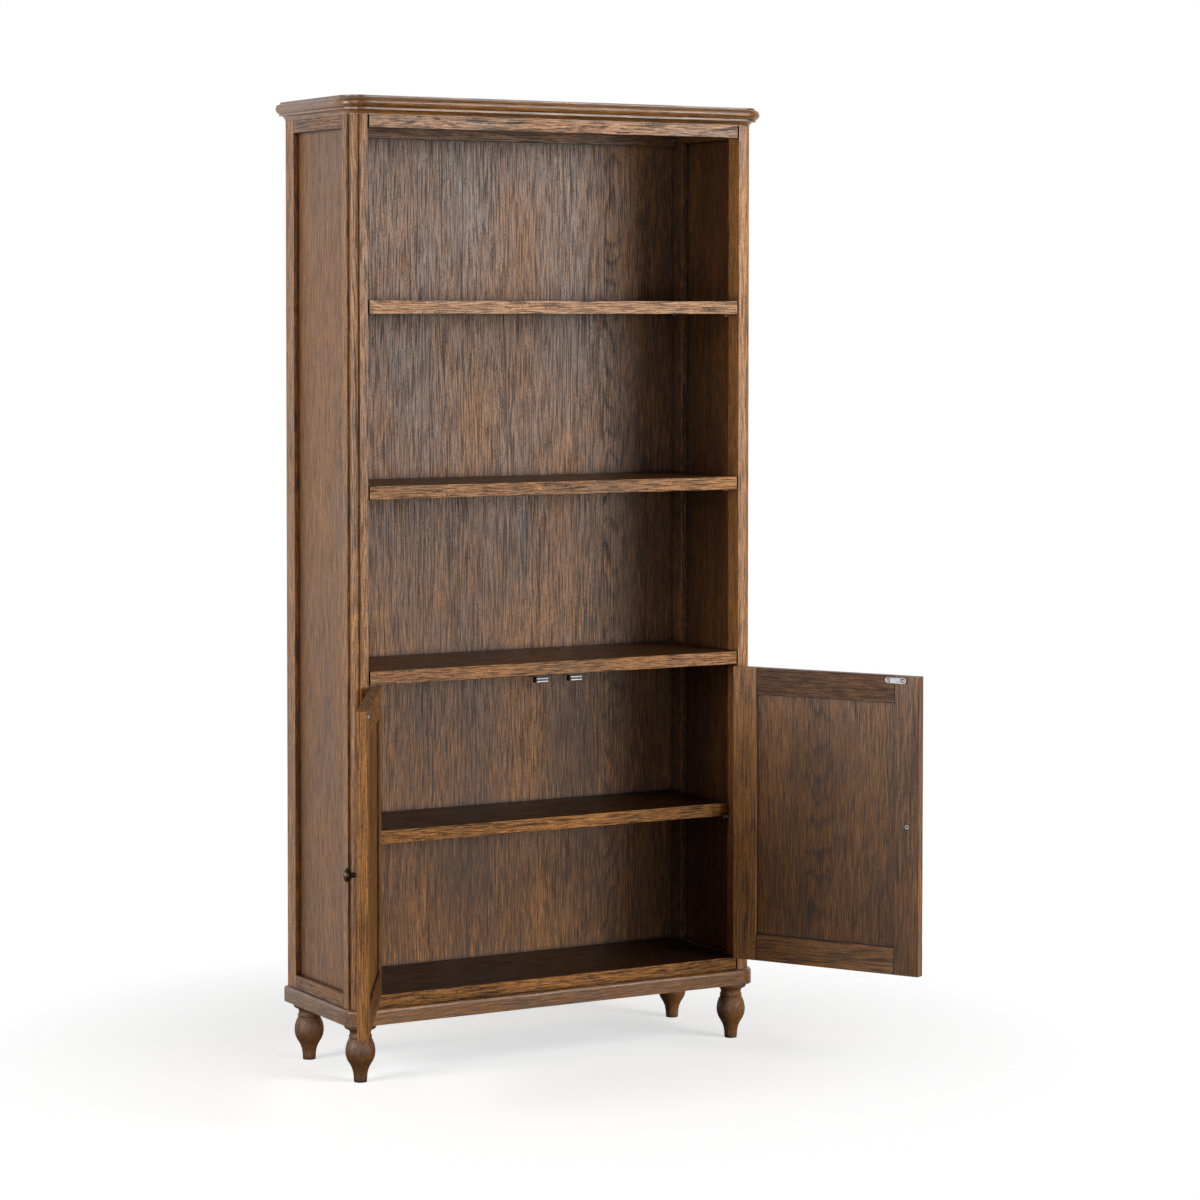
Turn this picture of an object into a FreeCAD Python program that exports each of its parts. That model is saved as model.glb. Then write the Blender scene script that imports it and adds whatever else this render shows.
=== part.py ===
import FreeCAD, Part
import os
import Sketcher

# A free-standing oak bookcase: three open bays over a cupboard with two framed doors.
# Framed and panelled sides with beaded front posts, a moulded top, a plinth with rounded
# front corners, and four turned feet.
# Frame: millimetres, origin on the floor under the middle of the carcass, +X to the right
# as seen from the front, +Y to the back, +Z up. The doors stand open.

LEFT, RIGHT = -1, 1
SIDES = ((LEFT, "left"), (RIGHT, "right"))

SIZES = (
    # Carcass
    ("inner_width", 801.8, "clear width between the posts"),
    ("carcass_depth", 288, "front of the posts to the back of the rear stiles"),
    ("post_width", 34.5, "front post across the front"),
    ("post_depth", 38.3, "front post along the side"),
    ("rear_stile_depth", 36, "rear stile along the side"),
    ("bead_setback", 15.2, "bead centre behind both outer planes of the post"),
    ("bead_radius", 10.8, "quarter bead on the post's outer corner"),
    ("bead_rebate", 18.35, "square rebate that the bead stands in"),
    ("side_top_rail_height", 24.6, "top rail of a side frame"),
    ("side_bottom_rail_height", 25.4, "bottom rail of a side frame"),
    ("side_panel_thickness", 9.3, "panel of a side frame"),
    ("side_panel_recess", 14.5, "panel behind the inner faces of the side frame"),
    ("rear_batten_width", 35.8, "upright strip in front of the back panel"),
    ("back_panel_thickness", 6, "back panel"),
    ("back_rabbet", 10, "overlap of the back panel and the rear stiles"),
    ("back_top_rail_height", 60, "rail behind the back panel, at the top"),
    ("back_bottom_rail_height", 60, "rail behind the back panel, at the bottom"),
    ("upper_batten_height", 30.3, "strip under the top, in front of the back panel"),
    ("upper_batten_depth", 14.5, "the same strip, front to back"),
    # Heights
    ("foot_height", 110, "floor to the underside of the plinth"),
    ("plinth_height", 29.8, "plinth"),
    ("board_thickness", 24.8, "shelves and bottom board"),
    ("cupboard_height", 578.3, "bottom board to the fixed shelf over the doors"),
    ("lower_bay_height", 275.8, "bottom board to the cupboard shelf"),
    ("open_bay_height", 317.8, "each of the three open bays"),
    ("top_rail_height", 23.6, "front rail under the cornice"),
    ("top_rail_depth", 24, "the same rail, front to back"),
    ("cornice_height", 12.3, "cove moulding"),
    ("top_thickness", 22.4, "top board"),
    # Shelves
    ("shelf_end_gap", 3.3, "shadow gap between a board's end and the side frame"),
    ("shelf_back_gap", 0.4, "shelf to the back panel"),
    ("cupboard_shelf_setback", 32.3, "cupboard shelf behind the front"),
    ("pin_diameter", 4, "shelf pin"),
    ("pin_depth", 10, "shelf pin in its hole"),
    ("pin_seat", 9, "flat of the pin under the shelf"),
    ("pin_seat_width", 7, "the same flat, front to back"),
    ("pin_seat_thickness", 2, "the same flat, top to bottom"),
    ("pin_inset", 33.2, "front pins behind the front"),
    # Cornice and top
    ("cove_lip", 0.5, "cornice moulding beyond the carcass, under the cove"),
    ("cove_lip_height", 1.2, "plain edge under the cove"),
    ("cove_width", 11.5, "cove, outwards"),
    ("cove_height", 7.3, "cove, upwards"),
    ("cove_radius", 10.5, "hollow of the cove"),
    ("cove_step", 1, "square step over the cove, outwards"),
    ("cornice_rail_width", 16, "cornice moulding inside the carcass planes"),
    ("top_overhang", 10.9, "upper fillet of the top beyond the carcass"),
    ("top_corner_radius", 37.2, "front corners of the upper fillet"),
    ("nose_projection", 9.45, "half-round nose beyond the upper fillet"),
    ("nose_height", 18.9, "half-round nose"),
    # Plinth
    ("plinth_proud", 7.4, "plinth beyond the carcass at the front and the sides"),
    ("plinth_corner_radius", 33, "front corners of the plinth"),
    ("plinth_edge_radius", 6, "rounded upper edge"),
    ("plinth_rail_width", 24, "plinth rail, outside to inside"),
    ("plinth_back_thickness", 18, "rear plinth rail"),
    ("corner_block_size", 68, "block behind each plinth corner"),
    ("corner_block_chamfer", 10, "clipped corner of that block"),
    # Feet
    ("foot_inset", 30.6, "foot axis inside the carcass planes"),
    ("foot_cap_diameter", 60, "ring at the top of the foot"),
    ("foot_cap_height", 10, "the same ring"),
    ("foot_neck_diameter", 41, "neck under the ring"),
    ("foot_neck_step", 3.2, "shoulder between the ring and the hollow neck"),
    ("foot_bulb_diameter", 56, "bulb"),
    ("foot_waist_diameter", 43, "where the bulb turns hollow"),
    ("foot_toe_diameter", 25.6, "straight end"),
    ("foot_toe_step", 0.8, "toe narrows by this at the floor"),
    ("bolt_diameter", 8, "hanger bolt of a foot"),
    ("bolt_in_foot", 40, "hanger bolt in the foot"),
    ("bolt_in_block", 26, "hanger bolt in the corner block"),
    # Doors
    ("left_open_angle", 119.3, "left door, from shut"),
    ("right_open_angle", 120.5, "right door, from shut"),
    ("door_thickness", 19.2, "door frame"),
    ("hinge_gap", 2, "post to the hinged edge of a shut door"),
    ("meeting_gap", 2, "between the shut doors"),
    ("door_top_gap", 3, "door to the fixed shelf"),
    ("door_bottom_gap", 1.7, "door to the bottom board"),
    ("door_stile_width", 50.5, "door stile"),
    ("door_rail_height", 51.3, "door rail"),
    ("door_panel_thickness", 8.6, "flat door panel, in the middle of the frame"),
    ("door_tenon_thickness", 6.4, "tenon of a door rail"),
    ("door_tenon_length", 20, "the same tenon"),
    ("door_tenon_shoulder", 12, "the same tenon, from the rail's edges"),
    # Knobs
    ("knob_rise", 286, "knob axis over the lower edge of the door"),
    ("knob_inset", 23.5, "knob axis from the free edge"),
    ("knob_diameter", 24.5, "knob"),
    ("knob_projection", 26.5, "knob in front of the door"),
    ("knob_foot_diameter", 11, "round foot of the knob"),
    ("knob_stem_diameter", 7.2, "stem"),
    ("knob_screw_diameter", 4, "screw through the stile"),
    ("knob_screw_grip", 9, "the same screw inside the knob"),
    ("knob_screw_head_diameter", 9, "its head"),
    ("knob_screw_head_height", 2.2, "its head"),
    # Hinges
    ("knuckle_proud", 2, "hinge axis in front of the shut door's face"),
    ("knuckle_radius", 2, "hinge barrel"),
    ("hinge_pin_radius", 1, "hinge pin"),
    ("pin_running_clearance", 0.05, "hinge pin in the barrel"),
    ("hinge_height", 50, "barrel and leaves"),
    ("hinge_from_end", 50, "hinge to the nearer end of the door"),
    ("knuckle_gap", 0.2, "between neighbouring knuckles"),
    ("leaf_thickness", 0.9, "hinge leaf"),
    ("leaf_width", 14.5, "hinge leaf behind the face of the door"),
    ("leaf_setback", 0.3, "front edge of a leaf behind the face of the door"),
    ("leaf_screw_spread", 30, "the two screws of a leaf"),
    # Catches
    ("left_catch_offset", 23.5, "left catch from the middle"),
    ("right_catch_offset", 50, "right catch from the middle"),
    ("catch_length", 46, "flange of a catch"),
    ("catch_depth", 14, "flange of a catch"),
    ("catch_flange_height", 5, "flange of a catch"),
    ("catch_body_length", 27, "body of a catch"),
    ("catch_body_height", 17, "body of a catch"),
    ("pole_length", 24, "steel pole of a catch"),
    ("pole_height", 2, "steel pole of a catch"),
    ("pole_seat", 6, "steel pole inside the body"),
    ("pole_proud", 1.5, "steel pole in front of the body"),
    ("pole_spacing", 5.4, "between the two poles"),
    ("pole_drop", 11.9, "middle of the poles under the shelf"),
    ("catch_gap", 0.3, "poles to the strike plate of a shut door"),
    ("strike_length", 44, "strike plate"),
    ("strike_height", 11, "strike plate"),
    ("strike_thickness", 1.5, "strike plate"),
    ("strike_screw_spread", 30, "the two screws of a strike plate"),
    # Screws
    ("screw_diameter", 2.6, "small wood screw"),
    ("screw_length", 11, "small wood screw in the wood"),
    ("screw_head_diameter", 5, "its flat head"),
    ("screw_head_height", 0.6, "its flat head"),
    ("screw_clearance", 0.05, "screw in its hole, all round"),
    # Joints
    ("groove_depth", 8, "panel grooves"),
    ("groove_end_gap", 1, "panel edge to the bottom of its groove"),
    ("tenon_length", 10, "stub tenons of the carcass"),
    ("tenon_thickness", 10, "stub tenons of the carcass"),
    ("tenon_width", 18, "stub tenons of boards, front to back"),
    ("tenon_shoulder", 6, "stub tenon from the edge of its piece"),
    ("fit_clearance", 0.15, "wood joint, each side"),
    ("edge_round", 0.7, "eased long edges"),
    ("overrun", 5, "how far a cut runs past a face"),
)

doc = FreeCAD.newDocument("bookcase")
sheet = doc.addObject("Spreadsheet::Sheet", "sizes")
for row, (alias, number, note) in enumerate(SIZES, start=1):
    sheet.set(f"A{row}", alias)
    sheet.set(f"B{row}", str(number))
    sheet.set(f"C{row}", note)
    sheet.setAlias(f"B{row}", alias)
doc.recompute()

# Planes of the carcass
HALF_INNER = "(sizes.inner_width / 2)"
HALF_OUTER = f"({HALF_INNER} + sizes.post_width)"
FRONT = "(-sizes.carcass_depth / 2)"
BACK = "(sizes.carcass_depth / 2)"
POST_REAR = f"({FRONT} + sizes.post_depth)"
STILE_FRONT = f"({BACK} - sizes.rear_stile_depth)"
BATTEN_FRONT = f"({STILE_FRONT} - sizes.rear_batten_width)"
PANEL_NEAR = f"({HALF_INNER} + sizes.side_panel_recess)"
PANEL_FAR = f"({PANEL_NEAR} + sizes.side_panel_thickness)"
BOARD_END = f"({HALF_INNER} - sizes.shelf_end_gap)"

# Levels, from the floor up
CARCASS_BOTTOM = "(sizes.foot_height + sizes.plinth_height)"
BOTTOM_BOARD_TOP = f"({CARCASS_BOTTOM} + sizes.board_thickness)"
SHELF_4_BOTTOM = f"({BOTTOM_BOARD_TOP} + sizes.lower_bay_height)"
SHELF_3_BOTTOM = f"({BOTTOM_BOARD_TOP} + sizes.cupboard_height)"
SHELF_PITCH = "(sizes.board_thickness + sizes.open_bay_height)"
SHELF_2_BOTTOM = f"({SHELF_3_BOTTOM} + {SHELF_PITCH})"
SHELF_1_BOTTOM = f"({SHELF_2_BOTTOM} + {SHELF_PITCH})"
TOP_RAIL_BOTTOM = f"({SHELF_1_BOTTOM} + {SHELF_PITCH})"
CARCASS_TOP = f"({TOP_RAIL_BOTTOM} + sizes.top_rail_height)"
CORNICE_TOP = f"({CARCASS_TOP} + sizes.cornice_height)"
SIDE_TOP_RAIL_BOTTOM = f"({CARCASS_TOP} - sizes.side_top_rail_height)"
SIDE_BOTTOM_RAIL_TOP = f"({CARCASS_BOTTOM} + sizes.side_bottom_rail_height)"
DOOR_BOTTOM = f"({BOTTOM_BOARD_TOP} + sizes.door_bottom_gap)"
DOOR_TOP = f"({SHELF_3_BOTTOM} - sizes.door_top_gap)"

# Shelves that rest on pins: name, underside, distance behind the front
PINNED_SHELVES = (
    ("shelf_1", SHELF_1_BOTTOM, "0"),
    ("shelf_2", SHELF_2_BOTTOM, "0"),
    ("shelf_4", SHELF_4_BOTTOM, "sizes.cupboard_shelf_setback"),
)
PIN_ROWS = (
    f"({FRONT} + sizes.pin_inset)",
    f"({STILE_FRONT} - sizes.rear_batten_width / 2)",
)
PIN_DROP = "(sizes.pin_seat_thickness / 2 + sizes.pin_diameter / 2)"

# Tenons of the pieces that are housed in the side frames, front to back
FRONT_TENON_YS = (f"({FRONT} + sizes.tenon_shoulder * 2)",
                  f"({FRONT} + sizes.tenon_shoulder * 2 + sizes.tenon_width)")
REAR_TENON_YS = (f"({BATTEN_FRONT} + sizes.tenon_shoulder)",
                 f"({BATTEN_FRONT} + sizes.tenon_shoulder + sizes.tenon_width)")
TOP_RAIL_TENON_YS = (f"({FRONT} + sizes.tenon_shoulder)",
                     f"({FRONT} + sizes.top_rail_depth - sizes.tenon_shoulder)")

# The pieces that are housed in the front posts: underside, height and tenon
HOUSED_IN_POSTS = (
    (CARCASS_BOTTOM, "sizes.board_thickness", FRONT_TENON_YS),
    (SHELF_3_BOTTOM, "sizes.board_thickness", FRONT_TENON_YS),
    (TOP_RAIL_BOTTOM, "sizes.top_rail_height", TOP_RAIL_TENON_YS),
)

# A door as it hangs: distances from the hinge axis along the door and across it
DOOR_HINGE_EDGE = "(sizes.hinge_gap / 2)"
DOOR_FREE_EDGE = f"({HALF_INNER} - sizes.hinge_gap / 2 - sizes.meeting_gap / 2)"
DOOR_FACE = "sizes.knuckle_proud"
DOOR_INSIDE = f"({DOOR_FACE} + sizes.door_thickness)"
DOOR_MIDDLE = f"({DOOR_FACE} + sizes.door_thickness / 2)"
HINGE_AXIS_X = f"({HALF_INNER} - sizes.hinge_gap / 2)"
HINGE_AXIS_Y = f"({FRONT} - {DOOR_FACE})"
HINGE_BOTTOMS = (
    f"({DOOR_BOTTOM} + sizes.hinge_from_end)",
    f"({DOOR_TOP} - sizes.hinge_from_end - sizes.hinge_height)",
)
KNUCKLES = 5
FRAME_KNUCKLES = (0, 2, 4)
DOOR_KNUCKLES = (1, 3)
CATCHES = {LEFT: "sizes.left_catch_offset", RIGHT: "sizes.right_catch_offset"}

AXIS_TURNS = {
    "x": FreeCAD.Rotation(FreeCAD.Vector(0, 1, 0), 90),
    "y": FreeCAD.Rotation(FreeCAD.Vector(1, 0, 0), -90),
    "z": FreeCAD.Rotation(),
}
sub_parts = []


def value(expression):
    """The number that an expression on the sheet has now."""
    return float(sheet.evalExpression(expression))


def minus(expression):
    return f"(-({expression}))"


def on_side(side, near, far):
    """Span along X on one side of the middle, given outwards, returned left to right."""
    return (near, far) if side == RIGHT else (minus(far), minus(near))


def grown(span, by):
    """A span longer by the same amount at both ends."""
    return (f"({span[0]} - {by})", f"({span[1]} + {by})")


def length_of(span):
    return f"({span[1]} - {span[0]})"


def middle_of(span):
    return f"(({span[0]} + {span[1]}) / 2)"


def new_body(name, alone=True):
    """A body is a sub-part of its own, unless it goes into a group."""
    body = doc.addObject("PartDesign::Body", name)
    body.Label = name
    if alone:
        sub_parts.append(body)
    return body


def new_sketch(body, plane, offset="0"):
    """Sketch on one of the body's own planes, moved along that plane's normal."""
    sketch = body.newObject("Sketcher::SketchObject", f"{body.Name}_sketch")
    support = next(item for item in body.Origin.OriginFeatures if item.Role == plane)
    sketch.AttachmentSupport = [(support, "")]
    sketch.MapMode = "FlatFace"
    sketch.setExpression("AttachmentOffset.Base.z", offset)
    return sketch


def pin_point(sketch, geometry, end, place):
    """Hold one end of a line or arc at a place given by two expressions."""
    for kind, expression in zip(("DistanceX", "DistanceY"), place):
        rule = Sketcher.Constraint(kind, -1, 1, geometry, end, value(expression))
        index = sketch.addConstraint(rule)
        sketch.setExpression(f"Constraints[{index}]", expression)


def arc_between(start, end, radius):
    """The shorter arc between two points; its centre is to the left for a positive radius."""
    chord = end - start
    reach = (radius ** 2 - (chord.Length / 2) ** 2) ** 0.5
    left = FreeCAD.Vector(-chord.y, chord.x, 0).normalize()
    turn = 1 if radius > 0 else -1
    centre = start + chord / 2 + left * (turn * reach)
    crest = centre - left * (turn * abs(radius))
    ends = (start, end) if radius > 0 else (end, start)
    return Part.Arc(ends[0], crest, ends[1])


def outline(sketch, corners, radii=None):
    """Closed outline through the corners; radii gives the arc that leaves a corner, if any."""
    radii = radii or {}
    places = [FreeCAD.Vector(value(across), value(up), 0) for across, up in corners]
    ends = []
    for number, start in enumerate(places):
        end = places[(number + 1) % len(places)]
        if number in radii:
            edge = arc_between(start, end, value(radii[number]))
        else:
            edge = Part.LineSegment(start, end)
        index = sketch.addGeometry(edge, False)
        drawn_from = sketch.Geometry[index].StartPoint
        forward = drawn_from.distanceToPoint(start) < drawn_from.distanceToPoint(end)
        ends.append((index, (1, 2) if forward else (2, 1)))
    for number, (index, (first, _)) in enumerate(ends):
        before, (_, last) = ends[number - 1]
        sketch.addConstraint(Sketcher.Constraint("Coincident", before, last, index, first))
        pin_point(sketch, index, first, corners[number])
        if number in radii:
            size = abs(value(radii[number]))
            rule = sketch.addConstraint(Sketcher.Constraint("Radius", index, size))
            sketch.setExpression(f"Constraints[{rule}]", f"abs({radii[number]})")


def rectangle(across, up):
    return [(across[0], up[0]), (across[1], up[0]), (across[1], up[1]), (across[0], up[1])]


def pad(body, sketch, length, backwards=False):
    feature = body.newObject("PartDesign::Pad", f"{body.Name}_pad")
    feature.Profile = sketch
    feature.setExpression("Length", length)
    feature.Reversed = backwards
    return feature


def turn(body, sketch, axis, angle=360, backwards=False):
    """Revolve a sketch about an axis that stands up in it, given by its two ends."""
    line = Part.LineSegment(*(FreeCAD.Vector(value(a), value(b), 0) for a, b in axis))
    index = sketch.addGeometry(line, True)
    for end, place in enumerate(axis, start=1):
        pin_point(sketch, index, end, place)
    feature = body.newObject("PartDesign::Revolution", f"{body.Name}_turn")
    feature.Profile = sketch
    feature.ReferenceAxis = (sketch, ["Axis0"])
    feature.Angle = angle
    feature.Reversed = backwards
    return feature


def box(body, kind, xs, ys, zs):
    """Add or cut a block; kind is Additive or Subtractive."""
    block = body.newObject(f"PartDesign::{kind}Box", f"{body.Name}_box")
    for size, axis, span in (("Length", "x", xs), ("Width", "y", ys), ("Height", "z", zs)):
        block.setExpression(size, length_of(span))
        block.setExpression(f"Placement.Base.{axis}", span[0])
    return block


def rod(body, kind, axis, place, length, radius):
    """Add or cut a cylinder that starts at a place and runs along +X, +Y or +Z."""
    cylinder = body.newObject(f"PartDesign::{kind}Cylinder", f"{body.Name}_rod")
    cylinder.Placement = FreeCAD.Placement(FreeCAD.Vector(), AXIS_TURNS[axis])
    set_rod(cylinder, place, length, radius)
    return cylinder


def set_rod(cylinder, place, length, radius):
    cylinder.setExpression("Height", length)
    cylinder.setExpression("Radius", radius)
    for axis, expression in zip("xyz", place):
        cylinder.setExpression(f"Placement.Base.{axis}", expression)


def round_edges(body, feature, radius, wanted):
    """Round the edges of a feature for which wanted(edge) is true."""
    doc.recompute()
    edges = enumerate(feature.Shape.Edges, start=1)
    names = [f"Edge{number}" for number, edge in edges if wanted(edge)]
    fillet = body.newObject("PartDesign::Fillet", f"{body.Name}_rounding")
    fillet.Base = (feature, names)
    fillet.setExpression("Radius", radius)
    return fillet


def runs_along(axis):
    """Test for straight edges along X, Y or Z."""
    direction = FreeCAD.Vector(*(axis == letter for letter in "xyz"))

    def wanted(edge):
        chord = edge.Vertexes[-1].Point - edge.Vertexes[0].Point
        return chord.cross(direction).Length < Part.Precision.confusion()

    return wanted


def board(name, xs, ys, zs, grain):
    """A planed board with its long edges eased."""
    body = new_body(name)
    sketch = new_sketch(body, "XY_Plane", zs[0])
    outline(sketch, rectangle(xs, ys))
    feature = pad(body, sketch, length_of(zs))
    round_edges(body, feature, "sizes.edge_round", runs_along(grain))
    return body


def place_at(item, place, angle="0"):
    """Bind the position of a whole sub-part, and its turn about +Z."""
    turned = FreeCAD.Rotation(FreeCAD.Vector(0, 0, 1), value(angle))
    item.Placement = FreeCAD.Placement(FreeCAD.Vector(), turned)
    for axis, expression in zip("xyz", place):
        item.setExpression(f"Placement.Base.{axis}", expression)
    item.setExpression("Placement.Rotation.Angle", angle)


def group(name, items):
    """Identical separate pieces kept as one sub-part."""
    compound = doc.addObject("Part::Compound", name)
    compound.Label = name
    compound.Links = items
    sub_parts.append(compound)
    return compound


def loose_box(name, xs, ys, zs):
    block = doc.addObject("Part::Box", name)
    for size, axis, span in (("Length", "x", xs), ("Width", "y", ys), ("Height", "z", zs)):
        block.setExpression(size, length_of(span))
        block.setExpression(f"Placement.Base.{axis}", span[0])
    return block


def loose_rod(name, axis, place, length, radius):
    cylinder = doc.addObject("Part::Cylinder", name)
    cylinder.Placement = FreeCAD.Placement(FreeCAD.Vector(), AXIS_TURNS[axis])
    set_rod(cylinder, place, length, radius)
    return cylinder


def fused(name, items):
    union = doc.addObject("Part::MultiFuse", name)
    union.Shapes = items
    return union


def cut(name, base, tools):
    difference = doc.addObject("Part::Cut", name)
    difference.Base = base
    difference.Tool = tools[0] if len(tools) == 1 else fused(f"{name}_tools", tools)
    return difference


def shifted(place, axis, by):
    """A place moved along one axis."""
    return tuple(f"({e} + {by})" if axis == letter else e for letter, e in zip("xyz", place))


SCREW_HOLE_RADIUS = "(sizes.screw_diameter / 2 + sizes.screw_clearance)"
SCREW_HEAD_HOLE_RADIUS = "(sizes.screw_head_diameter / 2 + sizes.screw_clearance)"


def screw(name, axis, face, direction):
    """A small screw. The face is where its head ends flush; direction is which way it drives."""
    drive = f"({direction} * sizes.screw_length)"
    head_step = f"({direction} * sizes.screw_head_height)"
    head_from = face if direction > 0 else shifted(face, axis, head_step)
    shank_from = face if direction > 0 else shifted(face, axis, drive)
    head = loose_rod(f"{name}_head", axis, head_from, "sizes.screw_head_height",
                     "sizes.screw_head_diameter / 2")
    shank = loose_rod(f"{name}_shank", axis, shank_from, "sizes.screw_length",
                      "sizes.screw_diameter / 2")
    return fused(name, [head, shank])


def screw_hole(body, axis, face, direction):
    """The hole that the same screw sits in, flush with the face."""
    for depth, radius in (("sizes.screw_length", SCREW_HOLE_RADIUS),
                          ("sizes.screw_head_height", SCREW_HEAD_HOLE_RADIUS)):
        deep = f"({depth} + sizes.screw_clearance)"
        start = shifted(face, axis, "-sizes.overrun") if direction > 0 else \
            shifted(face, axis, minus(deep))
        rod(body, "Subtractive", axis, start, f"({deep} + sizes.overrun)", radius)


def tenon_span(bottom, height):
    """Height span of a stub tenon centred on its piece."""
    middle = f"({bottom} + {height} / 2)"
    return (f"({middle} - sizes.tenon_thickness / 2)", f"({middle} + sizes.tenon_thickness / 2)")


SIDE_TENON_XS = (f"({HALF_INNER} + sizes.post_width / 2 - sizes.tenon_thickness / 2)",
                 f"({HALF_INNER} + sizes.post_width / 2 + sizes.tenon_thickness / 2)")
SIDE_RAILS = (
    ("top", SIDE_TOP_RAIL_BOTTOM, "sizes.side_top_rail_height"),
    ("bottom", CARCASS_BOTTOM, "sizes.side_bottom_rail_height"),
)
GROOVE_XS = grown((PANEL_NEAR, PANEL_FAR), "sizes.fit_clearance")
GROOVE_ZS = grown((SIDE_BOTTOM_RAIL_TOP, SIDE_TOP_RAIL_BOTTOM), "sizes.groove_depth")
BACK_RAILS = (
    ("top", (f"({CARCASS_TOP} - sizes.back_top_rail_height)", CARCASS_TOP)),
    ("bottom", (CARCASS_BOTTOM, f"({CARCASS_BOTTOM} + sizes.back_bottom_rail_height)")),
)
BACK_RAIL_YS = (f"({STILE_FRONT} + sizes.back_panel_thickness)", BACK)
BACK_TENON_YS = (f"({middle_of(BACK_RAIL_YS)} - sizes.tenon_thickness / 2)",
                 f"({middle_of(BACK_RAIL_YS)} + sizes.tenon_thickness / 2)")


def inner_mortise(body, side, ys, zs):
    """Blind mortise in a side frame, open towards the inside of the bookcase."""
    xs = on_side(side, f"({HALF_INNER} - sizes.overrun)",
                 f"({HALF_INNER} + sizes.tenon_length + sizes.fit_clearance)")
    box(body, "Subtractive", xs, grown(ys, "sizes.fit_clearance"),
        grown(zs, "sizes.fit_clearance"))


def pin_holes(body, side, row):
    """The holes of one upright for the pins under its three loose shelves."""
    start = HALF_INNER if side == RIGHT else minus(f"{HALF_INNER} + sizes.pin_depth")
    for _, underside, _ in PINNED_SHELVES:
        place = (start, PIN_ROWS[row], f"({underside} - {PIN_DROP})")
        rod(body, "Subtractive", "x", place, "sizes.pin_depth",
            "(sizes.pin_diameter / 2 + sizes.screw_clearance)")


def frame_joints(body, side, face, direction):
    """Panel groove and mortises for the side rails in the edge of an upright."""
    depths = (("sizes.groove_depth", GROOVE_XS, GROOVE_ZS),) + tuple(
        ("(sizes.tenon_length + sizes.fit_clearance)",
         grown(SIDE_TENON_XS, "sizes.fit_clearance"),
         grown((f"({bottom} + sizes.tenon_shoulder)",
                f"({bottom} + {height} - sizes.tenon_shoulder)"), "sizes.fit_clearance"))
        for _, bottom, height in SIDE_RAILS)
    for depth, xs, zs in depths:
        inside = (f"({face} - {depth})", f"({face} + sizes.overrun)")
        outside = (f"({face} - sizes.overrun)", f"({face} + {depth})")
        ys = outside if direction > 0 else inside
        box(body, "Subtractive", on_side(side, *xs), ys, zs)


def front_post(side, name):
    """Front post: a quarter bead stands in a square rebate along its outer corner."""
    body = new_body(f"{name}_front_post")
    rebate_x = f"({HALF_OUTER} - sizes.bead_rebate)"
    rebate_y = f"({FRONT} + sizes.bead_rebate)"
    corners = [(HALF_INNER, FRONT), (rebate_x, FRONT), (rebate_x, rebate_y),
               (HALF_OUTER, rebate_y), (HALF_OUTER, POST_REAR), (HALF_INNER, POST_REAR)]
    sketch = new_sketch(body, "XY_Plane", CARCASS_BOTTOM)
    outline(sketch, [(f"({side} * {across})", deep) for across, deep in corners])
    height = f"({CARCASS_TOP} - {CARCASS_BOTTOM})"
    square = pad(body, sketch, height)
    inner = side * value(HALF_INNER)
    upright = runs_along("z")
    round_edges(body, square, "sizes.edge_round",
                lambda edge: upright(edge) and edge.CenterOfMass.x * side < inner * side
                + value("sizes.edge_round"))
    centre = (f"({side} * ({HALF_OUTER} - sizes.bead_setback))",
              f"({FRONT} + sizes.bead_setback)", CARCASS_BOTTOM)
    rod(body, "Additive", "z", centre, height, "sizes.bead_radius")
    frame_joints(body, side, POST_REAR, -1)
    for bottom, housed_height, tenon_ys in HOUSED_IN_POSTS:
        inner_mortise(body, side, tenon_ys, tenon_span(bottom, housed_height))
    pin_holes(body, side, 0)
    for place in leaf_screw_places(side):
        screw_hole(body, "x", place, side)


def rear_stile(side, name):
    """Rear stile, rabbeted for the back panel."""
    xs = on_side(side, HALF_INNER, HALF_OUTER)
    body = board(f"{name}_rear_stile", xs, (STILE_FRONT, BACK), (CARCASS_BOTTOM, CARCASS_TOP), "z")
    frame_joints(body, side, STILE_FRONT, 1)
    rabbet_xs = on_side(side, f"({HALF_INNER} - sizes.overrun)",
                        f"({HALF_INNER} + sizes.back_rabbet)")
    rabbet_ys = (f"({STILE_FRONT} - sizes.overrun)",
                 f"({STILE_FRONT} + sizes.back_panel_thickness)")
    box(body, "Subtractive", rabbet_xs, rabbet_ys,
        grown((CARCASS_BOTTOM, CARCASS_TOP), "sizes.overrun"))
    for _, (bottom, top) in BACK_RAILS:
        zs = (f"({bottom} + sizes.tenon_shoulder)", f"({top} - sizes.tenon_shoulder)")
        inner_mortise(body, side, BACK_TENON_YS, zs)


def side_rail(side, name, which, bottom, height):
    """Top or bottom rail of a side frame, with stub tenons and a panel groove."""
    xs = on_side(side, HALF_INNER, HALF_OUTER)
    ys = (POST_REAR, STILE_FRONT)
    zs = (bottom, f"({bottom} + {height})")
    body = board(f"{name}_side_{which}_rail", xs, ys, zs, "y")
    box(body, "Additive", on_side(side, *SIDE_TENON_XS), grown(ys, "sizes.tenon_length"),
        (f"({bottom} + sizes.tenon_shoulder)", f"({zs[1]} - sizes.tenon_shoulder)"))
    if which == "top":
        groove_zs = (f"({bottom} - sizes.overrun)", f"({bottom} + sizes.groove_depth)")
    else:
        groove_zs = (f"({zs[1]} - sizes.groove_depth)", f"({zs[1]} + sizes.overrun)")
    box(body, "Subtractive", on_side(side, *GROOVE_XS),
        grown(ys, "(sizes.tenon_length + sizes.overrun)"), groove_zs)
    if which == "bottom":
        inner_mortise(body, side, REAR_TENON_YS, tenon_span(bottom, "sizes.board_thickness"))
    return body


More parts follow.
